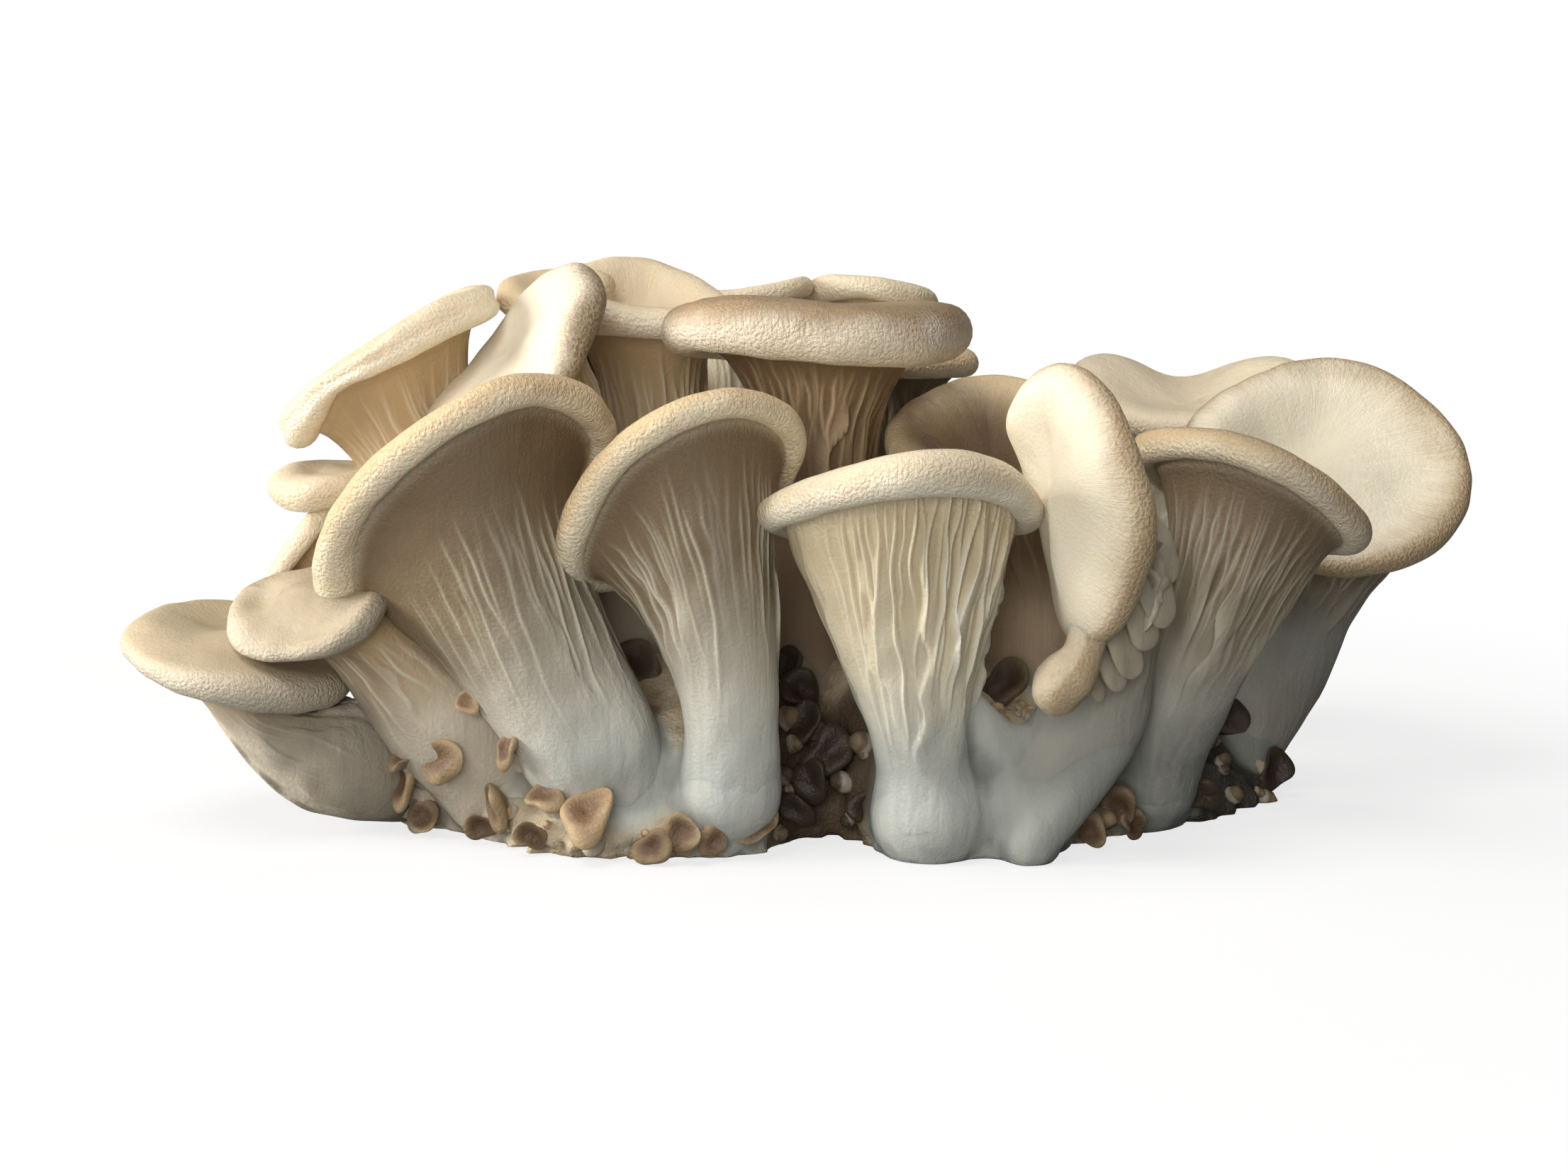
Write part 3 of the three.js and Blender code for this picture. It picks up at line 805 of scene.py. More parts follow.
FLESHES = {
    Skin.CREAM: Flesh(
        "cream_flesh",
        stem=linear(236, 234, 221), crest=linear(240, 234, 216), valley=linear(214, 202, 172),
        lip_shadow=linear(198, 182, 148), lip=linear(246, 237, 214), edge=linear(224, 205, 172),
        top=linear(232, 217, 188),
    ),
    Skin.TAN: Flesh(
        "tan_flesh",
        stem=linear(224, 222, 210), crest=linear(204, 197, 176), valley=linear(134, 120, 95),
        lip_shadow=linear(126, 107, 80), lip=linear(252, 237, 206), edge=linear(222, 193, 148),
        top=linear(212, 190, 154),
    ),
    Skin.GOLD: Flesh(
        "gold_flesh",
        stem=linear(205, 198, 182), crest=linear(224, 214, 192), valley=linear(188, 166, 132),
        lip_shadow=linear(184, 158, 120), lip=linear(248, 238, 216), edge=linear(246, 232, 206),
        top=linear(230, 211, 178),
    ),
    Skin.PALE: Flesh(
        "pale_flesh",
        stem=linear(180, 182, 172), crest=linear(216, 208, 188), valley=linear(150, 135, 109),
        lip_shadow=linear(136, 116, 86), lip=linear(186, 160, 120), edge=linear(176, 149, 110),
        top=linear(248, 237, 212), side_shade=linear(166, 161, 150), fade=(2.72, 3.22),
    ),
    Skin.TOAST: Flesh(
        "toast_flesh",
        stem=linear(182, 175, 158), crest=linear(222, 212, 188), valley=linear(180, 158, 124),
        lip_shadow=linear(174, 148, 110), lip=linear(140, 114, 82), edge=linear(142, 116, 84),
        top=linear(238, 226, 202), fade=(2.65, 3.0),
    ),
    Skin.GREY: Flesh(
        "grey_flesh",
        stem=linear(146, 126, 102), crest=linear(194, 170, 138), valley=linear(108, 85, 60),
        lip_shadow=linear(126, 102, 75), lip=linear(246, 234, 213), edge=linear(162, 137, 106),
        top=linear(182, 160, 130), blush=(2.58, 2.9), fade=(2.9, 3.3),
    ),
    Skin.BROWN: Flesh(
        "brown_flesh",
        stem=linear(186, 164, 134), crest=linear(190, 166, 132), valley=linear(140, 112, 82),
        lip_shadow=linear(130, 104, 76), lip=linear(222, 200, 162), edge=linear(220, 196, 156),
        top=linear(132, 106, 78), fade=(3.0, 3.6),
    ),
}

# ------------------------------------------------------------------ fruit bodies


@dataclass(frozen=True)
class Ground:
    """The skin that gills grow on, as rows and columns, and the source of their random draws."""

    draw: np.random.Generator
    share: Array
    turns: Array
    girth: Array

    def away(self, centre: Array) -> Array:
        """Measures how far each point is from a crest, in millimetres."""
        return wrapped(self.turns - centre) * self.girth


@dataclass(frozen=True)
class Gills:
    """Thin ridges and broad pleats that run from under the lip down a fruit body.

    Two thin ridges in three fork off a long one as they rise. A pleat is broad on one side and
    steep on the other, and leans over its steep side. Places up the body are shares of the way
    from the foot to the lip.
    """

    fine: int = 66
    height: float = 0.6
    width: float = 0.42
    pleats: int = 16
    fold: float = 1.5
    bare: Span = (0.0, 0.0)
    reach: float = 0.3
    top: float = 0.97
    wave: float = 0.6

    # what is left of the gills on the bare side, and how far they swell and shrink round the body
    BARE_SHARE = 0.12
    SWELL = 0.25
    SWELLS = 3
    # a pleat's width on its steep and its broad side, its lean and how much further it wanders
    STEEP = 0.5
    BROAD = 3.0
    LEAN = 0.9
    PLEAT_SWAY = 2.2
    # every third ridge is long, and the others run along it below their fork
    LONG_EVERY = 3
    FORK = (0.15, 0.2)
    # how far a pleat and a ridge may stand off an even spacing
    PLEAT_JITTER = 0.35
    RIDGE_JITTER = 0.25
    # how often a crest sways slowly and quickly on its way up, and how far quickly
    SLOW = (1.0, 2.5)
    QUICK = (4.0, 9.0)
    QUICK_SHARE = 0.35

    def relief(self, seed: int, share: Array, turns: Array, girth: Array) -> tuple[Array, Array, Array]:
        """Works out how high the ridges stand and how far they lean.

        Args:
            seed: the same seed gives the same gills.
            share: each row's place, from 0 at the foot to 1 under the lip, and past 1 above it.
            turns: each point's place round its row, from 0 to 1.
            girth: each row's length round, in millimetres.

        Returns:
            Heights and sideways leans in millimetres, and a mask that is 1 on the crests, each
            as rows and columns.
        """
        ground = Ground(np.random.default_rng(seed), share[:, None], turns, girth[:, None])
        centre, half = self.bare
        clear = smooth(half * 0.7, half * 1.3 + 0.02, np.abs(wrapped(turns - centre)))
        strength = self.BARE_SHARE + (1.0 - self.BARE_SHARE) * clear
        swells = np.sin(TURN * (turns * self.SWELLS + ground.draw.uniform()))
        strength = strength * (1.0 - self.SWELL + self.SWELL * swells)
        height, mask, lean, fine = (np.zeros_like(turns) for _ in range(4))
        for away, tall, side in self._pleats(ground):
            sharp = np.where(away * side > 0, self.STEEP, self.BROAD)
            crest = tall * np.exp(-((away / sharp) ** 2))
            height += self.fold * crest
            lean += self.LEAN * side * crest**3
            mask = np.maximum(mask, crest**2)
        for away, tall in self._ridges(ground):
            fine = np.maximum(fine, tall * np.exp(-((away / self.width) ** 2)))
        height = (height + self.height * fine) * strength
        return height, lean * strength, np.maximum(mask, fine) * (0.4 + 0.6 * strength)

    def _sway(self, ground: Ground) -> Array:
        """Draws how far a crest wanders sideways.

        Args:
            ground: the skin that it grows on.

        Returns:
            How far at each row, as a share of the way round.
        """
        draw = ground.draw
        slow = np.sin(TURN * (ground.share * draw.uniform(*self.SLOW) + draw.uniform()))
        quick = np.sin(TURN * (ground.share * draw.uniform(*self.QUICK) + draw.uniform()))
        return self.wave * (slow + self.QUICK_SHARE * quick * draw.uniform(0.2, 1.6)) / ground.girth

    def _pleats(self, ground: Ground) -> Iterator[tuple[Array, Array, float]]:
        """Draws the pleats one by one.

        Args:
            ground: the skin that they grow on.

        Yields:
            Distances from the crest in millimetres, heights from 0 to 1, and the steep side.
        """
        draw, share = ground.draw, ground.share
        for i in range(self.pleats):
            place = (i + draw.uniform(-self.PLEAT_JITTER, self.PLEAT_JITTER)) / self.pleats
            low = draw.uniform(self.reach, self.reach + 0.25)
            high = draw.uniform(self.top - 0.2, self.top)
            tall = draw.uniform(0.3, 1.0) * smooth(low, low + 0.22, share)
            tall = tall * (1.0 - smooth(high - 0.25, high, share))
            centre = place + self.PLEAT_SWAY * self._sway(ground)
            yield ground.away(centre), tall, draw.choice([-1.0, 1.0])

    def _ridges(self, ground: Ground) -> Iterator[tuple[Array, Array]]:
        """Draws the thin ridges one by one.

        Args:
            ground: the skin that they grow on.

        Yields:
            Distances from the crest in millimetres, and heights from 0 to 1.
        """
        draw, share = ground.draw, ground.share
        below, above = self.FORK
        jitter = draw.uniform(-self.RIDGE_JITTER, self.RIDGE_JITTER, self.fine)
        place = (np.arange(self.fine) + jitter) / self.fine
        for i in range(self.fine):
            long = i % self.LONG_EVERY == 0
            starts = (self.reach + 0.1, self.reach + 0.35) if long else (0.55, 0.85)
            low = draw.uniform(*starts)
            parent = place[int(round(i / self.LONG_EVERY)) * self.LONG_EVERY % self.fine]
            joined = 0.0 if long else 1.0 - smooth(low - below, low + above, share)
            centre = place[i] - wrapped(place[i] - parent) * 0.9 * joined + self._sway(ground)
            high = draw.uniform(self.top - 0.08, self.top + 0.03)
            tall = draw.uniform(0.4, 1.0) * smooth(low - 0.08, low + 0.15, share)
            yield ground.away(centre), tall * (1.0 - smooth(high - 0.12, high, share))


@dataclass(frozen=True)
class Fineness:
    """How many rows and columns a fruit body's skin has."""

    around: int
    stem: int
    gills: int
    lip: int
    top: int


FINE = Fineness(around=560, stem=22, gills=42, lip=14, top=10)
MIDDLING = Fineness(around=300, stem=14, gills=32, lip=12, top=12)
PLAIN = Fineness(around=170, stem=10, gills=22, lip=10, top=10)


@dataclass(frozen=True)
class Lobe:
    """A little lobe that hangs from a cap, as a line of points that each have a radius.

    A sheet is a lobe pressed flat, and its normal says which way it faces. The side that
    faces along browned is coloured like a cap's edge.
    """

    line: list[Point]
    zone: float
    sheet: Point | None = None
    browned: Point | None = None

    AROUND = 40
    FLATTENING = 0.82
    UNEVEN = 0.3
    LUMPS = 6.0

    def build(self, seed: int) -> Piece:
        """Makes the lobe's mesh.

        Args:
            seed: the same seed gives the same unevenness.

        Returns:
            The lobe, to be joined to its fruit body.
        """
        line = rounded(self.line, 3)
        rows = bar_rows(line[:, :3], line[:, 3], self.AROUND)
        if self.sheet:
            normal = unit(np.array(self.sheet))
            middle = rows.mean(1, keepdims=True)
            rows = rows - ((rows - middle) @ normal)[..., None] * normal * self.FLATTENING
        out = grid_normals(rows)
        uneven = self.UNEVEN * Ripple(self.LUMPS, seed)(rows)
        uneven[[0, -1]] = 0.0
        zone = np.full(rows.shape[:2], self.zone)
        if self.browned:
            zone -= np.clip(out @ unit(np.array(self.browned)), 0.0, 1.0)
        rows = rows + out * uneven[..., None]
        return wrap_grid("lobe", rows, {"zone": zone, "relief": zone * 0 + 0.5, "shade": zone * 0})


@dataclass(frozen=True)
class Margin:
    """A cap's rim, column by column: the middle of its lip, and the ways out and up from there."""

    middle: Array
    out: Array
    roll: Array
    upward: Array
    lip: Array

    def skin(self, turn: float) -> Array:
        """Places the skin at an angle round the lip, from 0 on its outside to 90 degrees on top.

        Args:
            turn: the angle, in radians.

        Returns:
            The points of that row.
        """
        out = self.roll * (self.lip * math.cos(turn))[:, None]
        return self.middle + out + self.upward * (self.lip * math.sin(turn))[:, None]


@dataclass
class FruitBody:
    """A mushroom: stem, gills that run down it, rolled lip and funnel cap, grown as one.

    The stem is the four control points of its middle line, up to the hub of the cap. A rim
    point may have a fourth number, which swells the lip there.
    """

    name: str
    stem: list[Point]
    rim: list[Point]
    foot: float = 9.0
    neck: float = 9.0
    lip: float = 3.0
    # the slope of the gills under the lip, in degrees above level
    flare: float = 45.0
    # the share of the way up the stem at which the gills leave it
    gill_start: float = 0.35
    skin: Skin = Skin.CREAM
    gills: Gills = field(default_factory=Gills)
    fineness: Fineness = PLAIN
    collar: float = 14.0
    dome: float = 0.0
    crown: float = 85.0
    # the side on which the brown of the edge reaches further in, and how far it does
    browned: Point = (0.0, 0.0, 0.0)
    # how much painted shade darkens its stem and its cap
    shade: Span = (0.0, 0.0)
    # how much more painted shade darkens the right sides of its stem and its cap, or lightens them when
    # below 0
    right_shade: Span = (0.0, 0.0)
    # how deep a crease runs along the lip, in millimetres
    crease: float = 0.0
    lobes: list[Lobe] = field(default_factory=list)

    # how much closer the columns stand on the side that faces forward
    CROWDING = 0.45
    # the crease's zone, and half its width in zones
    CREASE = (2.62, 0.1)
    # where the lip starts underneath, round from its outside
    UNDER = math.radians(-140)
    # how long the handles of the gills' curve are, and of the cap's at its shoulder and its hub
    HANDLE = 0.3
    SHOULDER_HANDLE = 0.35
    HUB_HANDLE = 0.4
    # steps along the stem's middle line
    STEPS = 96
    # the rows that round off the foot: shares of its radius, and how far down as shares of it
    SOLE = [(0.0, 0.6), (0.45, 0.55), (0.75, 0.4), (0.93, 0.2)]
    # the height and the length of the skin's swells and lumps
    SWELLS = (0.45, 26.0)
    LUMPS = (0.15, 8.0)
    # the share of the way up at which the gills' zone counts as starting
    GILLS_FROM = 0.35
    # the sideways slopes at which the right side's painted shade begins and is full
    RIGHT = (-0.8, 0.3)
    # the zones over which the stem's painted shade comes in, and over which the cap's painted shade takes
    # over
    STEM_DARK = (0.0, 0.7)
    CAP_DARK = (1.9, 2.3)
    # the zone at which the top begins, and those over which the browned side begins and ends
    TOP = 3.0
    BROWN_BEGINS = (2.6, 3.0)
    BROWN_ENDS = (3.3, 4.0)

    def build(self, seed: int) -> Piece:
        """Makes the fruit body's mesh, with its gills and its uneven skin.

        Args:
            seed: the same seed gives the same gills and unevenness.

        Returns:
            The piece.
        """
        rows, zones = self._rows()
        steps = np.linalg.norm(np.roll(rows, -1, 1) - rows, axis=-1)
        girth = np.maximum(steps.sum(1), 0.01)
        turns = (np.cumsum(steps, 1) - steps) / girth[:, None]
        start = self.GILLS_FROM
        share = np.where(zones < 2, start + (zones - 1) * (1.0 - start), zones)
        share = np.where(zones < 1, zones * start, share)
        height, lean, relief = self.gills.relief(seed, share, turns, girth)
        lift = height
        for (tall, length), shift in ((self.SWELLS, 50), (self.LUMPS, 90)):
            lift = lift + tall * Ripple(length, seed + shift)(rows)
        middle, half = self.CREASE
        lift -= self.crease * np.exp(-(((zones - middle) / half) ** 2))[:, None]
        lift[[0, -1]] = 0.0
        sideways = unit(np.roll(rows, -1, 1) - np.roll(rows, 1, 1))
        rows = rows + grid_normals(rows) * lift[..., None] + sideways * lean[..., None]
        zone = np.repeat(zones[:, None], rows.shape[1], 1) - self._browning(rows, zones)
        values = {"zone": zone, "relief": relief, "shade": self._painted_shading(rows, zone)}
        piece = wrap_grid("fruit_" + self.name, rows, values)
        if self.lobes:
            self._add_lobes(piece, seed)
        return piece

    def dress(self, piece: Piece, finishes: dict[Skin, Material]) -> None:
        """Gives the piece its flesh and puts it on the frame."""
        add_piece(piece, finishes[self.skin], self.skin.value, "mushroom_" + self.name)

    def _painted_shading(self, rows: Array, zone: Array) -> Array:
        """Works out how much painted shade darkens the fruit body, all over and on its right side.

        Args:
            rows: the skin's points as rows and columns.
            zone: each point's zone.

        Returns:
            The darkness at each point, from 0 to 1.
        """
        right = smooth(*self.RIGHT, grid_normals(rows)[..., 0])
        below = self.shade[0] * smooth(*self.STEM_DARK, zone) + self.right_shade[0] * right
        above = self.shade[1] + self.right_shade[1] * right
        return np.clip(below + (above - below) * smooth(*self.CAP_DARK, zone), 0.0, 1.0)

    def _browning(self, rows: Array, zones: Array) -> Array:
        """Works out how much closer to the edge each point of the top is coloured as.

        Args:
            rows: the skin's points as rows and columns.
            zones: each row's zone.

        Returns:
            How much to take off the zone at each point.
        """
        shoulder = np.searchsorted(zones, self.TOP)
        towards = unit(rows[shoulder] - rows[-1]) @ np.array(self.browned)
        inwards = smooth(*self.BROWN_BEGINS, zones) * (1 - smooth(*self.BROWN_ENDS, zones))
        return inwards[:, None] * np.maximum(towards, 0.0)

    def _add_lobes(self, piece: Piece, seed: int) -> None:
        """Joins the fruit body's extra lobes to its piece.

        Args:
            piece: the fruit body's piece.
            seed: the same seed gives the same unevenness.
        """
        both = bmesh.new()
        both.from_mesh(piece.data)
        for i, lobe in enumerate(self.lobes):
            part = lobe.build(seed + i)
            both.from_mesh(part.data)
            bpy.data.objects.remove(part)
        both.to_mesh(piece.data)
        both.free()

    def _margin(self, hub: Array, facing: Array) -> Margin:
        """Follows the rim round, with columns that crowd together on the side in front.

        Args:
            hub: the middle of the cap.
            facing: the way the stem runs there.

        Returns:
            The rim, column by column.
        """
        rim = closed_spline(np.array([p[:3] for p in self.rim], float))
        swell = closed_spline(np.array([[p[3] if len(p) > 3 else 1.0] for p in self.rim]))
        nearest = min(range(len(self.rim)), key=lambda i: self.rim[i][1]) / len(self.rim)
        v = np.arange(self.fineness.around) / self.fineness.around
        turn = TURN * (v - nearest)
        u = (v - self.CROWDING * np.sin(turn) / TURN) * len(self.rim)
        middle = rim(u)
        out = across(middle - hub, facing)
        roll = across(out, unit(rim(u + 0.02) - rim(u - 0.02)))
        upward = across(np.broadcast_to(facing, roll.shape), roll)
        return Margin(middle, out, roll, upward, self.lip * swell(u)[:, 0])

    def _rows(self) -> tuple[Array, Array]:
        """Lays out the smooth skin.

        Returns:
            The points as rows and columns, and each row's zone (0 stem, 1 gills, 2 lip, 3 top).
        """
        fine = self.fineness
        points = [np.array(p) for p in self.stem]
        spine = bezier(points, np.linspace(0.0, 1.0, self.STEPS + 1))
        tangents = unit(np.gradient(spine, axis=0))
        facing = tangents[-1]
        margin = self._margin(points[-1], facing)

        rows = self._stem_rows(points, tangents, margin.out)
        zones = [0.0] * len(self.SOLE) + list(np.linspace(0.0, 1.0, fine.stem + 1))
        neck = rows[-1]
        end = margin.skin(self.UNDER)
        reach = np.linalg.norm(end - neck, axis=1)[:, None] * self.HANDLE
        rise = tangents[int(round(self.gill_start * self.STEPS))]
        slope = math.radians(self.flare)
        arrival = margin.out * math.cos(slope) + facing * math.sin(slope)
        steps = np.linspace(0, 1, fine.gills + 1)[1:]
        rows += list(bezier([neck, neck + rise * reach, end - arrival * reach, end], steps))
        zones += list(1.0 + steps)

        over = math.radians(self.crown)
        steps = np.linspace(0, 1, fine.lip + 1)[1:]
        rows += [margin.skin(self.UNDER + (over - self.UNDER) * t) for t in steps]
        zones += list(2.0 + steps)

        shoulder = rows[-1]
        reach = np.linalg.norm(shoulder - points[-1], axis=1)[:, None]
        hub = points[-1] + facing * self.dome
        leave = margin.upward * math.cos(over) - margin.roll * math.sin(over)
        curve = [
            shoulder, shoulder + leave * reach * self.SHOULDER_HANDLE,
            hub + margin.out * reach * self.HUB_HANDLE, np.broadcast_to(hub, shoulder.shape),
        ]
        steps = np.linspace(0, 1, fine.top + 1)[1:]
        rows += list(bezier(curve, steps))
        zones += list(3.0 + steps)
        return np.array(rows), np.array(zones)

    def _stem_rows(self, points: list[Array], tangents: Array, out: Array) -> list[Array]:
        """Lays the rows from the sole of the foot to the neck, with columns that point to the rim's.

        Args:
            points: the stem's control points.
            tangents: the stem's directions, from the foot to the hub.
            out: the way out to each column of the rim.

        Returns:
            The rows.
        """
        side = carried(tangents)
        other = np.cross(tangents, side)
        angle = np.arctan2(out @ other[-1], out @ side[-1])[:, None]

        def ring(part: float, radius: float, drop: float = 0.0) -> Array:
            """Lays a ring round the stem.

            Args:
                part: the share of the way along the stem's middle line.
                radius: the ring's radius.
                drop: how far back along the stem it is moved.

            Returns:
                Its points.
            """
            k = int(round(part * self.STEPS))
            centre = bezier(points, np.array([part]))[0] - tangents[k] * drop
            return centre + radius * (np.cos(angle) * side[k] + np.sin(angle) * other[k])

        rows = [ring(0, self.foot * share, self.foot * drop) for share, drop in self.SOLE]
        for t in np.linspace(0.0, 1.0, self.fineness.stem + 1):
            radius = self.foot + (self.neck - self.foot) * float(smooth(0, 1, t))
            rows.append(ring(t * self.gill_start, radius))
        return rows


# ------------------------------------------------------------------ pins


@dataclass(frozen=True)
class PinFlesh:
    """The finish of the pins: pale stems, and brown caps that pale towards the rim."""

    stem: Colour = linear(196, 186, 166)
    under: Colour = linear(172, 148, 116)
    rim: Colour = linear(200, 174, 134)
    middle: Colour = linear(124, 96, 70)
    # the colour that pins darken to: painted shade for those in shade, darker tone for the rest
    dark: Colour = linear(46, 37, 29)

    BODY = Body(scatter=0.15, depth=0.0015, shine=0.35, bump=0.4, grain=0.0002)
    ROUGHNESS = 0.5
    CLOUD = 0.3
    BLOTCHES = {"Coarse": 320.0, "Fine": 1600.0}
    # the zones over which the cap's underside, its rim and its middle begin
    UNDER = (1.1, 1.5)
    RIM = (1.7, 2.1)
    MIDDLE = (2.1, 3.5)

    def material(self, effects: Effects) -> Material:
        """Builds the material.

        Args:
            effects: the shared node groups.

        Returns:
            The material, which reads the piece's zone and shade.
        """
        made, w = new_material("pin_flesh")
        zone = w.read("zone")
        mottle = w.group(effects.mottle, **self.BLOTCHES)
        place = w.plus(zone, w.swing(mottle["Blotch"], self.CLOUD))
        colour = w.mix(w.ramp(zone, *self.UNDER), self.stem, self.under)
        colour = w.mix(w.ramp(place, *self.RIM), colour, self.rim)
        colour = w.mix(w.ramp(place, *self.MIDDLE), colour, self.middle)
        # painted shade and darker tone, weaker on the stem
        shade = w.times(w.read("shade"), w.ramp(zone, 1.0, 1.6, 0.45, 1.0))
        colour = w.mix(shade, colour, self.dark)
        self.BODY.paint(w, colour, mottle["Grain"], self.ROUGHNESS)
        return made


@dataclass
class Pin:
    """A mushroom that stopped growing: a stubby stem under a small cap."""

    name: str
    middle: Point
    facing: Point
    radius: float
    stem: float
    # how dark it is: painted shade for pins in the gap, behind and on the right, its own tone for the rest
    shade: float = 0.25

    AROUND = 36
    # share of the radius, height as a share of the radius, and zone, from the foot to the hub
    PROFILE = [
        (0.42, -1.2, 0.4), (0.34, -0.8, 0.9), (0.4, -0.52, 1.2), (0.76, -0.3, 1.6),
        (1.0, -0.14, 2.0), (1.1, 0.06, 2.3), (1.0, 0.26, 2.6), (0.72, 0.3, 3.0),
        (0.34, 0.16, 3.6), (0.0, 0.08, 4.0),
    ]
    # the least and the most that a cap is oval, droops on one side and droops on two
    OVAL = (0.02, 0.3)
    DROOP = (0.1, 0.4)
    SAG = (0.0, 0.35)
    # how tall lumps are and how far apart, as shares of the radius
    LUMPS = (0.15, 2.2)

    def build(self) -> Piece:
        """Makes the pin's mesh.

        Returns:
            The piece.
        """
        depth = -self.stem / self.radius
        line = rounded([(0.0, depth, 0.0), (0.5, depth + 0.1, 0.0)] + self.PROFILE)
        share, height, zone = (column[:, None] for column in line.T)
        draw = np.random.default_rng(hash_of(self.name))
        angle = np.arange(self.AROUND) / self.AROUND * TURN
        oval = draw.uniform(*self.OVAL)
        turned = angle + draw.uniform(0, math.pi)
        ring = np.stack([np.cos(angle), np.sin(angle), np.zeros_like(angle)], -1)
        ring *= (1.0 + oval * np.cos(2 * turned) + 0.09 * np.cos(3 * turned + 0.7))[:, None]
        rows = ring[None] * share[..., None] * self.radius
        droop = draw.uniform(*self.DROOP) * share**2 * np.cos(turned + 1.0)
        droop = droop + draw.uniform(*self.SAG) * share**2 * np.cos(2 * turned)
        rows[..., 2] += (height - droop * (zone > 1.1)) * self.radius
        turn = Vector((0, 0, 1)).rotation_difference(Vector(self.facing)).to_matrix()
        rows = rows @ np.array(turn).T + np.array(self.middle)
        tall, apart = self.LUMPS
        swell = self.radius * tall * Ripple(self.radius * apart, hash_of(self.name))(rows)
        swell[[0, -1]] = 0.0
        rows = rows + grid_normals(rows) * swell[..., None]
        rows[..., 2] = np.maximum(rows[..., 2], 0.0)
        zone = np.repeat(zone, self.AROUND, 1)
        return wrap_grid("small_" + self.name, rows, {"zone": zone, "shade": zone * 0 + self.shade})

    def dress(self, piece: Piece, material: Material) -> None:
        """Gives the pin its flesh and puts it on the frame."""
        add_piece(piece, material, "flesh_pin", "pin_" + self.name)


# ------------------------------------------------------------------ the cut base


@dataclass(frozen=True)
class Mycelium:
    """The finish of the base: cool white feet, and a creamy mound with painted brown shade in its hollows.
    """

    # the feet's cool grey low down: partly their own colour, partly painted shade
    foot: Colour = linear(184, 187, 180)
    # painted shade on the feet towards the right
    side_shade: Colour = linear(150, 153, 145)
    warm: Colour = linear(204, 193, 172)
    streak: Colour = linear(224, 222, 210)
    upper: Colour = linear(220, 218, 206)
    cream: Colour = linear(204, 188, 160)
    # the brown of painted shade in the mound's hollows, and of its blotches
    shade: Colour = linear(150, 128, 98)
    # painted shade in the feet's grooves
    groove_shade: Colour = linear(108, 110, 103)
    # painted shade on the far right of the mound
    right_shade: Colour = linear(74, 70, 62)
    # the brown of painted deep shade inside the cluster and in the gap in front
    deep_shade: Colour = linear(78, 62, 46)

    BODY = Body(tint=(1.0, 0.7, 0.5), shine=0.25)
    ROUGHNESS = 0.55
    # how much of a colour the blotches, the painted shade in the hollows with the blotches, the streaks,
    # the painted shade in the feet's grooves and the painted deep shade put on
    BLOTCH_SHARE = 0.35
    SHADE_AND_BLOTCH_SHARE = 0.8
    STREAK_SHARE = 0.22
    GROOVE_SHADE_SHARE = 0.6
    DEEP_SHADE_SHARE = 0.95

    def material(self, effects: Effects) -> Material:
        """Builds the material.

        Args:
            effects: the shared node groups.

        Returns:
            The material, which reads the piece's hollow and footing attributes.
        """
        made, w = new_material("mycelium")
        hollow, footing = w.read("hollow"), w.read("footing")
        mottle = w.group(effects.mottle)
        blotch = mottle["Blotch"]
        hollows = w.group(effects.heart)
        heart = w.math("MAXIMUM", hollows["Depth"], hollows["Gap"])
        streaks = w.group(effects.streaks)
        streak = streaks["Streak"]
        # painted shade in the hollows, with brown blotches
        shade_and_blotch = w.times(w.plus(hollow, w.times(blotch, self.BLOTCH_SHARE)), self.SHADE_AND_BLOTCH_SHARE)
        mound = w.mix(shade_and_blotch, self.cream, self.shade)
        # painted shade on the far right of the mound
        mound = w.mix(streaks["RightShade"], mound, self.right_shade)
        foot = w.mix(w.times(streak, self.STREAK_SHARE), self.foot, self.streak)
        foot = w.mix(streaks["Low"], self.upper, foot)
        # painted shade on the feet towards the right
        foot = w.mix(streaks["Side"], foot, self.side_shade)
        foot = w.mix(streaks["Warm"], foot, self.warm)
        # painted shade in the feet's grooves
        foot = w.mix(w.times(hollow, self.GROOVE_SHADE_SHARE), foot, self.groove_shade)
        colour = w.mix(footing, mound, foot)
        # painted deep shade inside the cluster and in the gap in front
        colour = w.mix(w.times(heart, self.DEEP_SHADE_SHARE), colour, self.deep_shade)
        rough = w.ramp(footing, 0.0, 1.0, 1.0, 0.25)
        height = w.times(w.plus(mottle["Grain"], blotch), rough)
        self.BODY.paint(w, colour, w.plus(height, w.times(streak, 0.5)), self.ROUGHNESS)
        return made


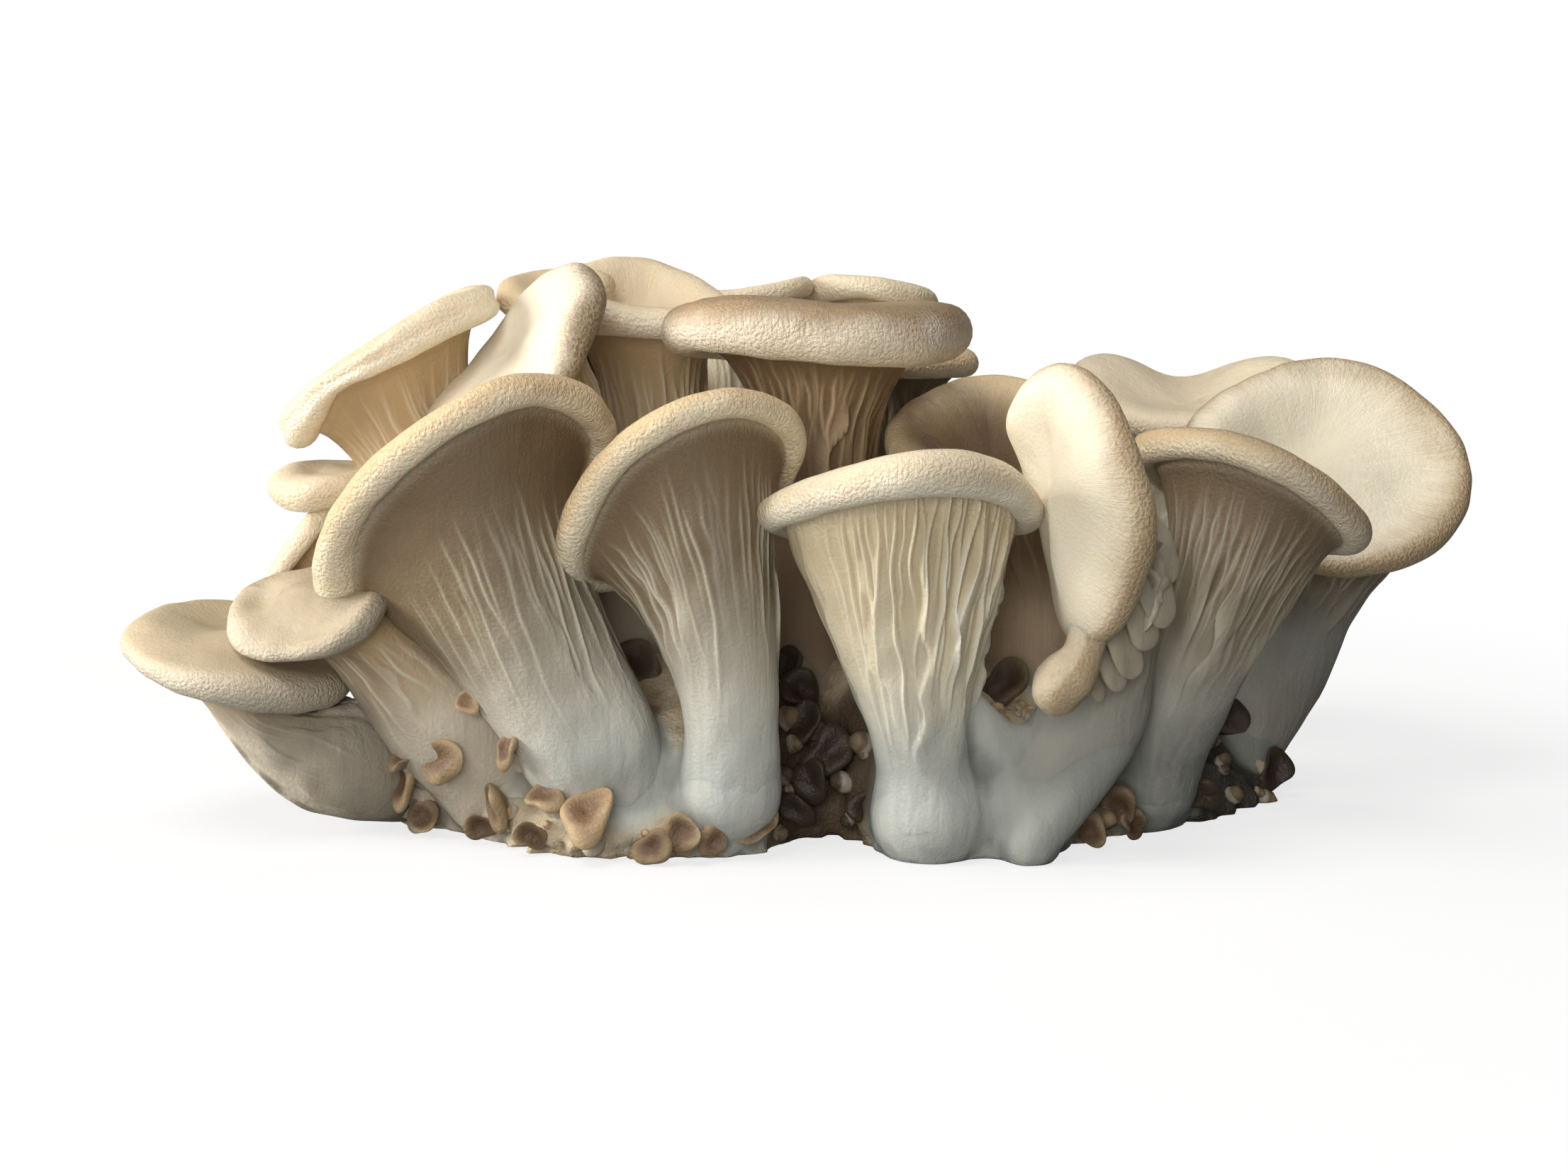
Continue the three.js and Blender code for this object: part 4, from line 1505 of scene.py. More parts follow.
@dataclass
class CutBase:
    """The mycelium that all the stems grow from, cut flat where it left its block."""

    outline: list[Point]
    centre: Point
    height: float
    bodies: list[FruitBody]
    webs: list[tuple[Point, Point, float]]

    AROUND = 160
    BAR_AROUND = 32
    SUNK = 5.0
    SUNK_SHARE = 0.97
    VOXEL = 1.3
    # share of the outline, of the shoulder height and of the dome, from the cut up
    PROFILE = [
        (0.98, 0.0, 0.0), (1.0, 0.25, 0.0), (0.985, 0.65, 0.0), (0.93, 1.0, 0.0),
        (0.8, 1.0, 0.35), (0.6, 1.0, 0.7), (0.35, 1.0, 0.93), (0.15, 1.0, 1.0),
    ]
    # how far a collar stands out of its stem at the foot, and how far it sinks in at its top
    PROUD = 0.45
    SHY = 1.2
    # the height, the length and the seed of each kind of lump, and of the ragged lower edge's
    LUMPS = ((0.9, 15.0, 3), (0.6, 6.0, 4), (0.25, 2.8, 5))
    RAGGED = (2.0, 4.5, 6)
    # how far from a foot the mound begins and is full, and the share of the lumps that feet keep
    NEAR = (1.5, 4.5)
    FOOT_LUMPS = 0.12
    # how deep a full hollow is, and how many rings of neighbours it is measured against
    DEEP = 0.6
    SPREADS = 6

    def build(self) -> Piece:
        """Melts the mound and a collar round every stem into one skin, and cuts it flat.

        Returns:
            The piece.
        """
        parts = [self._mound()] + [self._collar(body) for body in self.bodies]
        parts += [self._web(*web) for web in self.webs]
        joined = bmesh.new()
        for part in parts:
            joined.from_mesh(part.data)
            bpy.data.objects.remove(part)
        lump = placed("base_melt", baked("base_melt", joined))
        melt = lump.modifiers.new("melt", "REMESH")
        melt.mode = "VOXEL"
        melt.voxel_size = self.VOXEL * MM
        ease = lump.modifiers.new("ease", "SMOOTH")
        ease.factor = 0.6
        ease.iterations = 10
        ready = lump.evaluated_get(bpy.context.evaluated_depsgraph_get())
        skin = bmesh.new()
        skin.from_mesh(ready.to_mesh())
        bpy.data.objects.remove(lump)
        self._roughen(skin)
        self._cut(skin)
        mesh = baked("cut_base_skin", skin)
        # how hollow each point is, which the finish darkens with painted shade
        note(mesh, "hollow", self._hollows(mesh))
        note(mesh, "footing", self._footing(vectors(mesh, "co") / MM))
        mesh.shade_smooth()
        return placed("cut_base_skin", mesh)

    def dress(self, piece: Piece, material: Material) -> None:
        """Gives the base its mycelium and puts it on the frame."""
        add_piece(piece, material, "mycelium", "cut_base")

    def _mound(self) -> Piece:
        """Makes the mound between the stems, sunk below the cut.

        Returns:
            The mound, to be melted in.
        """
        outline = np.array(self.outline, float)
        edge = closed_spline(outline)(np.arange(self.AROUND) / self.AROUND * len(outline))
        centre = np.array([*self.centre, 0.0])
        rows = [np.tile(centre - [0, 0, self.SUNK], (self.AROUND, 1))]
        flat = edge * [1, 1, 0]
        rows.append(centre + (flat - centre) * self.SUNK_SHARE - [0, 0, self.SUNK])
        for share, shoulder, dome in self.PROFILE:
            ring = centre + (flat - centre) * share
            ring[:, 2] = edge[:, 2] * shoulder * (1 - dome) + self.height * dome
            rows.append(ring)
        rows.append(np.tile(centre + [0, 0, self.height], (self.AROUND, 1)))
        return wrap_grid("mound", np.array(rows), {})

    def _collar(self, body: FruitBody) -> Piece:
        """Makes the collar that swells a stem's foot into the base.

        Args:
            body: the fruit body whose stem it is.

        Returns:
            The collar, to be melted in.
        """
        steps = np.linspace(0.0, 1.0, 60)
        spine = bezier([np.array(p, float) for p in body.stem], steps)
        run = np.concatenate([[0], np.cumsum(np.linalg.norm(np.diff(spine, axis=0), axis=1))])
        inside = run < body.collar
        radius = body.foot + (body.neck - body.foot) * smooth(0, body.gill_start, steps)
        sizes = (radius + self.PROUD - (self.PROUD + self.SHY) * run / body.collar)[inside]
        return wrap_grid("collar", bar_rows(spine[inside], sizes, self.BAR_AROUND, 0.3), {})

    def _web(self, start: Point, end: Point, radius: float) -> Piece:
        """Makes a web of flesh between two feet.

        Args:
            start: one end of its middle line.
            end: the other end.
            radius: half its thickness.

        Returns:
            The web, to be melted in.
        """
        steps = np.linspace(0, 1, 20)[:, None]
        line = np.array(start) * (1 - steps) + np.array(end) * steps
        return wrap_grid("web", bar_rows(line, np.full(len(line), radius), self.BAR_AROUND), {})

    def _roughen(self, skin: bmesh.types.BMesh) -> None:
        """Gives the base its lumps, and leaves the feet of the stems smooth.

        Args:
            skin: the melted skin.
        """
        points = np.array([v.co for v in skin.verts]) / MM
        lift = sum(tall * Ripple(length, seed)(points) for tall, length, seed in self.LUMPS)
        tall, length, seed = self.RAGGED
        lift += (tall * Ripple(length, seed)(points) - 1.0) * (1.0 - smooth(1.5, 5.0, points[:, 2]))
        lift *= self.FOOT_LUMPS + (1.0 - self.FOOT_LUMPS) * (1.0 - self._footing(points))
        for vertex, height in zip(skin.verts, lift * MM):
            vertex.co += vertex.normal * float(height)

    def _footing(self, points: Array) -> Array:
        """Works out where the skin is the foot of a stem.

        Args:
            points: places on the skin, in millimetres.

        Returns:
            1 on a foot and 0 on the mound.
        """
        balls = []
        for body in self.bodies:
            spine = bezier([np.array(p, float) for p in body.stem], np.linspace(0.0, 1.0, 30))
            near = np.linalg.norm(spine - spine[0], axis=1) < body.collar
            balls += [(centre, body.foot) for centre in spine[near]]
        for start, end, radius in self.webs:
            shares = np.linspace(0, 1, 8)
            balls += [(np.array(start) * (1 - t) + np.array(end) * t, radius) for t in shares]
        nearest = np.full(len(points), np.inf)
        for centre, radius in balls:
            nearest = np.minimum(nearest, np.linalg.norm(points - centre, axis=1) - radius)
        return 1.0 - smooth(*self.NEAR, nearest)

    @staticmethod
    def _cut(skin: bmesh.types.BMesh) -> None:
        """Cuts the base flat at the ground and closes the cut.

        Args:
            skin: the roughened skin.
        """
        ground = {"plane_co": (0, 0, 0), "plane_no": (0, 0, 1), "clear_inner": True}
        bmesh.ops.bisect_plane(skin, geom=skin.verts[:] + skin.edges[:] + skin.faces[:], **ground)
        open_edges = [edge for edge in skin.edges if edge.is_boundary]
        bmesh.ops.holes_fill(skin, edges=open_edges, sides=0)
        bmesh.ops.triangulate(skin, faces=[face for face in skin.faces if len(face.verts) > 4])
        bmesh.ops.recalc_face_normals(skin, faces=skin.faces)

    def _hollows(self, mesh: bpy.types.Mesh) -> Array:
        """Works out how hollow the skin is at each point.

        Args:
            mesh: the skin.

        Returns:
            0 where it is flat or swells out, to 1 in a deep hollow.
        """
        points = vectors(mesh, "co")
        edges = np.empty(len(mesh.edges) * 2, int)
        mesh.edges.foreach_get("vertices", edges)
        start, end = edges.reshape(-1, 2).T
        degree = np.maximum(np.bincount(edges, minlength=len(points)), 1)[:, None]
        level = points
        for _ in range(self.SPREADS):
            total = np.zeros_like(level)
            np.add.at(total, start, level[end])
            np.add.at(total, end, level[start])
            level = total / degree
        depth = ((level - points) * vectors(mesh, "normal")).sum(1)
        return smooth(0.0, self.DEEP * MM, depth)


@dataclass
class Nubs:
    """Mushrooms that have only just begun: tiny lumps on the base, joined in one piece."""

    count: int = 150
    smallest: float = 0.6
    largest: float = 2.0
    top: float = 24.0

    SEED = 17
    LOWEST = 0.4
    # the power that makes small ones the most common, and how far they lean, in radians
    RARITY = 1.3
    LEAN = 0.6
    # how much painted shade darkens them in the gap in front and to the right, and where those begin
    SHADE_DARKER = 0.45
    GAP_SHARE = 1.3
    RIGHT = 60.0

    def build(self, base: Piece) -> Piece:
        """Scatters the lumps over the lower part of the base.

        Args:
            base: the finished base.

        Returns:
            The piece.
        """
        draw = np.random.default_rng(self.SEED)
        footing = base.data.attributes["footing"].data
        places = [
            v for v in base.data.vertices
            if self.LOWEST < v.co.z / MM < self.top and footing[v.index].value < 0.4
        ]
        skin = bmesh.new()
        zone = skin.verts.layers.float.new("zone")
        shade = skin.verts.layers.float.new("shade")
        for vertex in draw.choice(places, self.count, replace=False):
            size = draw.uniform(self.smallest, self.largest) ** self.RARITY * MM
            lump = self._place(draw, vertex, size)
            made = bmesh.ops.create_icosphere(skin, subdivisions=2, radius=size, matrix=lump)
            # a random tone, with painted shade in the gap and on the right
            tone_and_shade = draw.uniform(0.0, 0.5) + self.SHADE_DARKER * self._in_shade(vertex.co / MM)
            for new in made["verts"]:
                height = (new.co - vertex.co).dot(vertex.normal) / size
                new[zone] = 0.4 + 1.3 * min(max(height, 0.0), 1.6)
                new[shade] = tone_and_shade
                new.co += Vector(draw.normal(size=3)) * size * 0.05
                new.co.z = max(new.co.z, 0.0)
        mesh = baked("tiny_buttons", skin)
        mesh.shade_smooth()
        return placed("tiny_buttons", mesh)

    def dress(self, piece: Piece, material: Material) -> None:
        """Gives the lumps the pins' flesh and puts them on the frame."""
        add_piece(piece, material, "flesh_pin")

    def _place(self, draw: np.random.Generator, vertex: bpy.types.MeshVertex, size: float) -> Matrix:
        """Draws how a lump sits on the base.

        Args:
            draw: the source of the draws.
            vertex: the point of the base that it grows from.
            size: its radius, in metres.

        Returns:
            Where it stands, how it leans and how it is stretched.
        """
        turn = Vector((0, 0, 1)).rotation_difference(vertex.normal).to_matrix().to_4x4()
        lean = Matrix.Rotation(draw.uniform(-self.LEAN, self.LEAN), 4, "X")
        lean = lean @ Matrix.Rotation(draw.uniform(-self.LEAN, self.LEAN), 4, "Y")
        place = Matrix.Translation(vertex.co + vertex.normal * size * 0.4) @ turn @ lean
        return place @ Matrix.Diagonal((1.0, draw.uniform(0.7, 1.1), draw.uniform(0.8, 1.5), 1.0))

    def _in_shade(self, place: Vector) -> bool:
        """Says whether a place on the base is in the gap in front or far to the right, where painted shade
        darkens the lumps.
        """
        deep = np.linalg.norm((np.array(place) - GAP.centre) / GAP.radii)
        return deep < self.GAP_SHARE or place.x > self.RIGHT


# ------------------------------------------------------------------ the room


@dataclass(frozen=True)
class Lamp:
    """A square soft light: degrees round from the front and above the floor, watts and colour."""

    name: str
    turn: float
    rise: float
    power: float
    tint: Colour


@dataclass
class Studio:
    """A pale floor, soft light from the upper left, and the camera."""

    aim: Point = (0.0, 0.0, 41.4)
    away: float = 600.0
    lift: float = 8.0
    lens: float = 67.5
    light_away: float = 1100.0
    light_size: float = 520.0

    LAMPS = (
        Lamp("window", -84, 14, 14.5, (1.0, 0.98, 0.94)),
        Lamp("skylight", -42, 60, 6.4, (1.0, 0.98, 0.95)),
        Lamp("front", -10, 13, 5.9, (1.0, 0.99, 0.97)),
        Lamp("back", 112, 66, 3.2, (1.0, 0.99, 0.97)),
    )
    SENSOR = 36.0
    FLOOR = 20.0
    # the floor's paint as a light sees it and as the camera does
    FLOOR_DIM = (0.25, 0.25, 0.25)
    FLOOR_PALE = (0.9, 0.9, 0.9)
    # where the floor begins to glow and glows in full, in metres, and how much it does there
    GLOW = (0.12, 0.32, 0.75, 1.0)
    # how bright the sky is to light with and to look at
    SKY = (0.03, 1.0)

    def build(self) -> None:
        """Makes the floor, the lights and the camera."""
        self._floor()
        for lamp in self.LAMPS:
            self._light(lamp)
        self._sky()
        self._camera()

    def _floor(self) -> None:
        """Lays the floor: white to look at, dim to light with, and brightest far away."""
        sheet = bmesh.new()
        bmesh.ops.create_grid(sheet, x_segments=1, y_segments=1, size=self.FLOOR)
        floor = placed("floor", baked("floor", sheet))
        paint, w = new_material("floor_paint")
        w.tree.nodes.clear()
        seen = w.add("LightPath").outputs["Is Camera Ray"]
        away = w.add("VectorMath", {0: w.place()}, operation="LENGTH").outputs["Value"]
        matt = w.add("BsdfDiffuse", {"Color": w.mix(seen, self.FLOOR_DIM, self.FLOOR_PALE)})
        glow = w.add("Emission", {"Color": (1.0, 1.0, 1.0, 1.0), "Strength": 1.0})
        far = w.times(w.ramp(away, *self.GLOW), seen)
        both = w.add("MixShader", {0: far, 1: matt.outputs[0], 2: glow.outputs[0]})
        w.add("OutputMaterial", {"Surface": both.outputs[0]})
        floor.data.materials.append(paint)
        floor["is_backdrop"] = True

    def _light(self, lamp: Lamp) -> None:
        """Hangs a light that faces the cluster.

        Args:
            lamp: the light.
        """
        data = bpy.data.lights.new(lamp.name, "AREA")
        data.color = lamp.tint
        data.size = self.light_size * MM
        data.energy = lamp.power
        light = placed(lamp.name, data)
        turn, rise = math.radians(lamp.turn), math.radians(lamp.rise)
        outward = (math.sin(turn) * math.cos(rise), -math.cos(turn) * math.cos(rise), math.sin(rise))
        light.location = (Vector(self.aim) + Vector(outward) * self.light_away) * MM
        light.rotation_euler = Vector(outward).to_track_quat("Z", "Y").to_euler()

    def _sky(self) -> None:
        """Sets an even pale sky that is brighter to look at than to light with."""
        world = bpy.data.worlds.new("pale_room")
        world.use_nodes = True
        bpy.context.scene.world = world
        w = Wiring(world.node_tree)
        background = world.node_tree.nodes["Background"]
        background.inputs["Color"].default_value = (1.0, 1.0, 1.0, 1.0)
        seen = w.add("LightPath").outputs["Is Camera Ray"]
        w.feed(w.ramp(seen, 0.0, 1.0, *self.SKY), background.inputs["Strength"])
        bpy.context.scene.view_settings.view_transform = "Standard"

    def _camera(self) -> None:
        """Sets the camera up in front, a little above the caps."""
        data = bpy.data.cameras.new("camera")
        data.lens = self.lens
        data.sensor_width = self.SENSOR
        data.clip_start = 0.01
        camera = placed("camera", data)
        tilt = math.radians(self.lift)
        back = Vector((0.0, -math.cos(tilt), math.sin(tilt))) * self.away
        camera.location = (Vector(self.aim) + back) * MM
        camera.rotation_euler = (-back).to_track_quat("-Z", "Y").to_euler()
        bpy.context.scene.camera = camera


# ------------------------------------------------------------------ the cluster

FRUIT_BODIES = [
    FruitBody(
        "front_centre", [(27, -61, 8), (24, -63, 24), (22, -68, 42), (22, -64, 60)],
        [(44, -69, 65, 0.85), (40, -53, 62, 0.9), (24, -45, 62), (6, -51, 61, 0.9), (-2, -67, 64, 0.8),
         (6, -80, 69), (22, -88, 73.5, 1.2), (36.5, -82, 72, 1.1)],
        foot=11, neck=8.5, lip=3.5, flare=72, gill_start=0.22,
        gills=Gills(
            bare=(0.6, 0.1), fold=3.4, pleats=15, fine=70, height=1.5, width=0.36, top=1.1, reach=0.28,
        ),
        fineness=FINE, collar=24, right_shade=(0.0, 0.1),
    ),
    FruitBody(
        "front_left_large", [(-31, -51, 9), (-37, -55, 22), (-50, -60, 42), (-54, -53, 58)],
        [(-34, -50, 78), (-42, -36, 64), (-58, -29, 50), (-76, -38, 44), (-83, -54, 50, 1.4),
         (-78, -68, 65), (-62, -79, 80), (-44, -71, 87)],
        foot=11, neck=13.5, lip=3.2, gill_start=0.28, skin=Skin.TAN,
        gills=Gills(bare=(0.6, 0.13), top=0.86, fold=1.0, fine=84), fineness=FINE, collar=16,
    ),
    FruitBody(
        "front_left_tall", [(-10, -60, 12), (-9, -62, 28), (-9, -68, 46), (-17, -58, 60)],
        [(1, -57, 78), (-3, -44, 64), (-14, -38, 53), (-29, -44, 50), (-39, -60, 53), (-35, -72, 68),
         (-24, -80, 80), (-9, -75, 85)],
        foot=9.5, lip=2.8, gill_start=0.3, skin=Skin.TAN,
        gills=Gills(bare=(0.9, 0.03), top=0.95, pleats=10, fold=1.0, fine=72), fineness=FINE, collar=12,
    ),
    FruitBody(
        "front_right_upright", [(44.5, -57, 8.5), (60, -51, 20), (76, -58, 62), (51, -69, 69)],
        [(51.5, -70, 88), (47, -66, 86.4), (43.8, -62, 80), (45.8, -62, 73), (49.6, -63.5, 62),
         (52, -69, 49.5, 0.9), (54, -74.5, 44.5, 0.9), (57.5, -78, 47.5, 0.9), (60, -80, 54),
         (61.5, -82, 65), (58.8, -79, 77), (55.8, -75, 84.2)],
        foot=10, neck=9.5, lip=3.6, flare=30, gill_start=0.3, skin=Skin.PALE,
        gills=Gills(fine=30, pleats=19, fold=3.0, wave=1.3, top=1.15), fineness=MIDDLING, collar=9,
        dome=4, crown=50, browned=(0.22, 0.05, 0), shade=(0.0, 0.12), right_shade=(0.2, -0.12),
        lobes=[
            Lobe([(55.8, -72, 51, 4.4), (55, -75.5, 45.5, 4), (53.9, -76, 41.2, 3.2),
                  (52, -76, 37.4, 4.8), (49, -76, 34.2, 5)], 2.94, browned=(0.25, -0.1, -0.2)),
            Lobe([(61, -71, 66, 3), (66, -70, 61, 4.8), (68.5, -68, 55.5, 4)], 1.5, (0.5, -0.8, 0.5)),
            Lobe([(61, -72, 60, 3), (65, -71.5, 54.5, 4.8), (68, -69, 48, 4.2)], 1.5, (0.6, -0.8, 0.3)),
            Lobe([(60, -72, 54, 3), (62.5, -72, 49, 4), (65, -69.5, 43.5, 3.8)], 1.5, (0.5, -0.8, 0.5)),
            Lobe([(57, -72, 48, 2.5), (60, -72, 43.5, 3.6), (62.5, -70, 38, 3.6)], 1.5, (0.6, -0.8, 0.3)),
            Lobe([(55, -72, 43, 2), (58, -71.5, 39, 2.8), (60, -70, 35, 2.8)], 1.5, (0.5, -0.8, 0.5)),
            Lobe([(54, -72, 39, 1.6), (55.5, -71.5, 35.5, 2), (57, -70, 32.5, 2)], 1.5, (0.6, -0.8, 0.3)),
        ],
    ),
    FruitBody(
        "front_right", [(70, -38, 9), (73, -42, 24), (84, -55, 44), (88, -46, 58)],
        [(106, -53, 59), (101, -38, 56), (87, -29, 59), (74, -33, 67), (68, -46, 74), (77, -58, 76),
         (89, -64, 73), (99, -62, 67)],
        foot=9.5, neck=8.8, flare=50, gill_start=0.3, skin=Skin.TAN,
        gills=Gills(bare=(0.55, 0.07), top=0.97, fine=84), fineness=FINE, collar=16, shade=(0.15, 0.0),
        right_shade=(0.15, 0.4),
    ),
    FruitBody(
        "top_centre", [(2, -24, 10), (4, -24, 36), (9, -28, 72), (7, -26, 98)],
        [(31, -26, 95), (25, -10, 94), (6, -2, 93), (-12, -10, 94), (-19, -28, 95, 0.85), (-12, -43, 97),
         (6, -50, 96), (22, -46, 95)],
        neck=8.5, lip=5.5, flare=25, gill_start=0.5, skin=Skin.GREY, fineness=MIDDLING, crown=72,
        right_shade=(0.0, 0.16),
    ),
    FruitBody(
        "left_small", [(-54, -41, 9.5), (-60, -46, 20), (-73, -49, 35), (-86, -50, 43)],
        [(-75, -58, 47, 0.7), (-78, -47, 50, 0.6), (-91, -38, 48.5), (-101, -38, 44.5), (-102, -48, 40.5),
         (-97, -56, 38.5), (-88, -60, 38.5), (-80, -62, 41.5, 0.9)],
        foot=11.5, neck=12.5, lip=2.8, skin=Skin.GOLD, gills=Gills(height=0.3, fold=0.8, fine=44),
        fineness=MIDDLING, dome=9, crown=70, browned=(-0.5, 0, 0), shade=(0.45, 0.3), right_shade=(-0.35, 0.3),
    ),
    FruitBody(
        "far_left", [(-70, -35, 8.5), (-80, -40, 11), (-100, -43, 19), (-104, -38, 35)],
        [(-86, -42, 29), (-91, -25, 33), (-105, -16, 36), (-118, -24, 38), (-123, -39, 37), (-117, -52, 34),
         (-106, -58, 31.5), (-94, -55, 29.5)],
        foot=8, neck=11.5, lip=3.6, gill_start=0.4, skin=Skin.GOLD,
        gills=Gills(height=0.3, fold=1.3, fine=30, pleats=12, reach=0.12, wave=0.5), fineness=MIDDLING,
        dome=4, crown=60, shade=(-0.3, 0.22), right_shade=(0.8, 0.14),
    ),
    FruitBody(
        "right_large", [(91, 3, 9), (102, 6, 22), (113, 10, 49), (105, -1, 64)],
        [(138, 6, 64), (130, 19, 78), (114, 22, 84), (97, 12, 81), (84, -4, 71), (93, -19, 54),
         (112, -19, 49), (129, -9, 53)],
        foot=11, neck=11.5, lip=3.2, flare=30, gill_start=0.45, skin=Skin.PALE, fineness=MIDDLING,
        browned=(0.1, 0, 0.05), shade=(0.3, 0.0),
    ),
    FruitBody(
        "right_back", [(70, 24, 10), (74, 28, 28), (86, 44, 56), (86, 38, 76)],
        [(112, 40, 80), (104, 56, 82), (88, 62, 78), (72, 54, 83), (64, 38, 80), (70, 24, 74), (86, 19, 72),
         (103, 25, 75)],
        flare=30, gill_start=0.45,
    ),
    FruitBody(
        "centre_right", [(44, -24, 10), (50, -19, 28), (52, -12, 50), (40, -19, 66)],
        [(58, -20, 74), (53, -5, 80), (40, 1, 83), (29, -9, 80), (22, -22, 75), (26, -34, 68),
         (38, -37, 65), (52, -33, 67)],
        neck=10.5, lip=2.4, flare=35, gill_start=0.5, skin=Skin.BROWN, fineness=MIDDLING,
    ),
    FruitBody(
        "centre_back", [(26, 16, 10), (26, 18, 30), (24, 22, 62), (22, 24, 84)],
        [(38, 20, 86), (34, 33, 86), (22, 38, 85), (10, 33, 86), (6, 22, 86), (12, 12, 86), (24, 9, 86),
         (34, 12, 86)],
        foot=7, neck=6, lip=2.6, flare=30, gill_start=0.5, skin=Skin.TAN,
    ),
    FruitBody(
        "top_left_upright", [(-28, -20, 10), (-30, -18, 35), (-35, -18, 72), (-49, -26, 88)],
        [(-40, -40, 94, 1.4), (-38, -31, 102, 1.4), (-43, -18, 104.5), (-50, -10, 99), (-58, -12, 88),
         (-67, -22, 78), (-62, -38, 75), (-46, -46, 82)],
        gill_start=0.45, skin=Skin.TOAST, fineness=MIDDLING, dome=6, crown=60, browned=(0.15, 0, 0.05),
    ),
    FruitBody(
        "top_left_wide", [(-46, -20, 12), (-54, -20, 34), (-69, -18, 62), (-77, -18, 84)],
        [(-59, -17, 100, 1.2), (-65, -2, 99), (-78, 4, 92), (-91, -5, 83), (-95, -20, 76, 1.6),
         (-88, -34, 84), (-78, -40, 90), (-66, -31, 97, 1.2)],
        neck=10, lip=2.8, flare=50, gill_start=0.4, skin=Skin.GOLD, fineness=MIDDLING, crease=0.9,
    ),
    FruitBody(
        "left_middle_small", [(-56, -16, 14), (-68, -16, 34), (-84, -19, 54), (-90, -21, 68)],
        [(-81, -22, 66), (-84, -14, 66), (-91, -11, 66), (-96, -15, 66), (-98, -22, 65), (-96, -28, 64),
         (-91, -32, 64), (-84, -29, 65)],
        foot=5.5, neck=5, flare=20, gill_start=0.6,
    ),
    FruitBody(
        "left_middle_thin", [(-60, -24, 10), (-72, -22, 22), (-84, -22, 44), (-93, -22, 52)],
        [(-88, -22, 62), (-91, -12, 58), (-96, -10, 50), (-100, -14, 44), (-102, -22, 42), (-100, -30, 45),
         (-96, -33, 51), (-91, -31, 58)],
        foot=5.5, neck=5, lip=1.8, flare=25, gill_start=0.6, skin=Skin.GOLD,
    ),
    FruitBody(
        "top_left_small", [(-26, 2, 12), (-28, 4, 45), (-42, 4, 84), (-46, 3, 102)],
        [(-37, 3, 102), (-40, 10, 103), (-47, 12, 103), (-53, 9, 102), (-55, 3, 101), (-53, -4, 99),
         (-46, -6, 98), (-39, -3, 100)],
        foot=6.5, neck=5.5, flare=20, gill_start=0.6, skin=Skin.TAN,
    ),
    FruitBody(
        "top_left_folded", [(-14, -6, 12), (-17, -4, 40), (-31, 2, 68), (-31, 2, 94)],
        [(-11, 3, 95, 1), (-16, 14, 99.5, 1), (-28, 19, 105.5, 0.8), (-38, 13, 105.5, 0.8),
         (-46, 2, 101, 1), (-41, -9, 98, 1.2), (-29, -13, 96, 1.2), (-17, -9, 95, 1.2)],
        foot=8, neck=10, flare=62, skin=Skin.GOLD, gills=Gills(fold=2.6, pleats=12, fine=40, height=1.0),
        fineness=MIDDLING,
    ),
    FruitBody(
        "top_back_left", [(-6, 24, 10), (-6, 26, 40), (-9, 36, 76), (-10, 43, 96)],
        [(4, 41, 101), (0, 54, 99), (-11, 61, 96), (-22, 56, 96), (-27, 43, 97), (-22, 30, 98),
         (-10, 26, 99), (1, 30, 101)],
        foot=8, neck=7.5, lip=2.6, flare=30, gill_start=0.5,
    ),
    FruitBody(
        "top_back_right", [(14, 34, 10), (15, 36, 40), (18, 42, 76), (19, 48, 94)],
        [(31, 48, 97), (28, 59, 93), (19, 65, 90), (10, 59, 94), (7, 48, 99), (11, 39, 101), (19, 35, 101),
         (28, 38, 99)],
        foot=7.5, neck=7, lip=2.6, flare=30, gill_start=0.5,
    ),
    FruitBody(
        "back_left", [(-42, 18, 10), (-44, 22, 28), (-46, 30, 56), (-54, 40, 70)],
        [(-32, 34, 82), (-36, 52, 76), (-52, 63, 66), (-70, 57, 62), (-78, 42, 64), (-72, 26, 72),
         (-58, 17, 80), (-42, 20, 84)],
        foot=10, skin=Skin.TAN,
    ),
    FruitBody(
        "back_centre", [(-8, 44, 9), (-8, 50, 20), (-9, 54, 42), (-10, 66, 54)],
        [(16, 62, 58), (10, 74, 46), (-8, 82, 38), (-26, 76, 44), (-34, 64, 56), (-28, 56, 68),
         (-10, 52, 74), (10, 55, 68)],
        foot=10, neck=9.5,
    ),
    FruitBody(
        "back_right", [(44, 36, 9), (46, 42, 22), (48, 48, 48), (52, 58, 62)],
        [(74, 54, 62), (68, 70, 54), (54, 78, 50), (38, 74, 56), (31, 60, 66), (36, 47, 74), (52, 43, 76),
         (68, 45, 70)],
        foot=10, flare=40, skin=Skin.TAN,
    ),
]
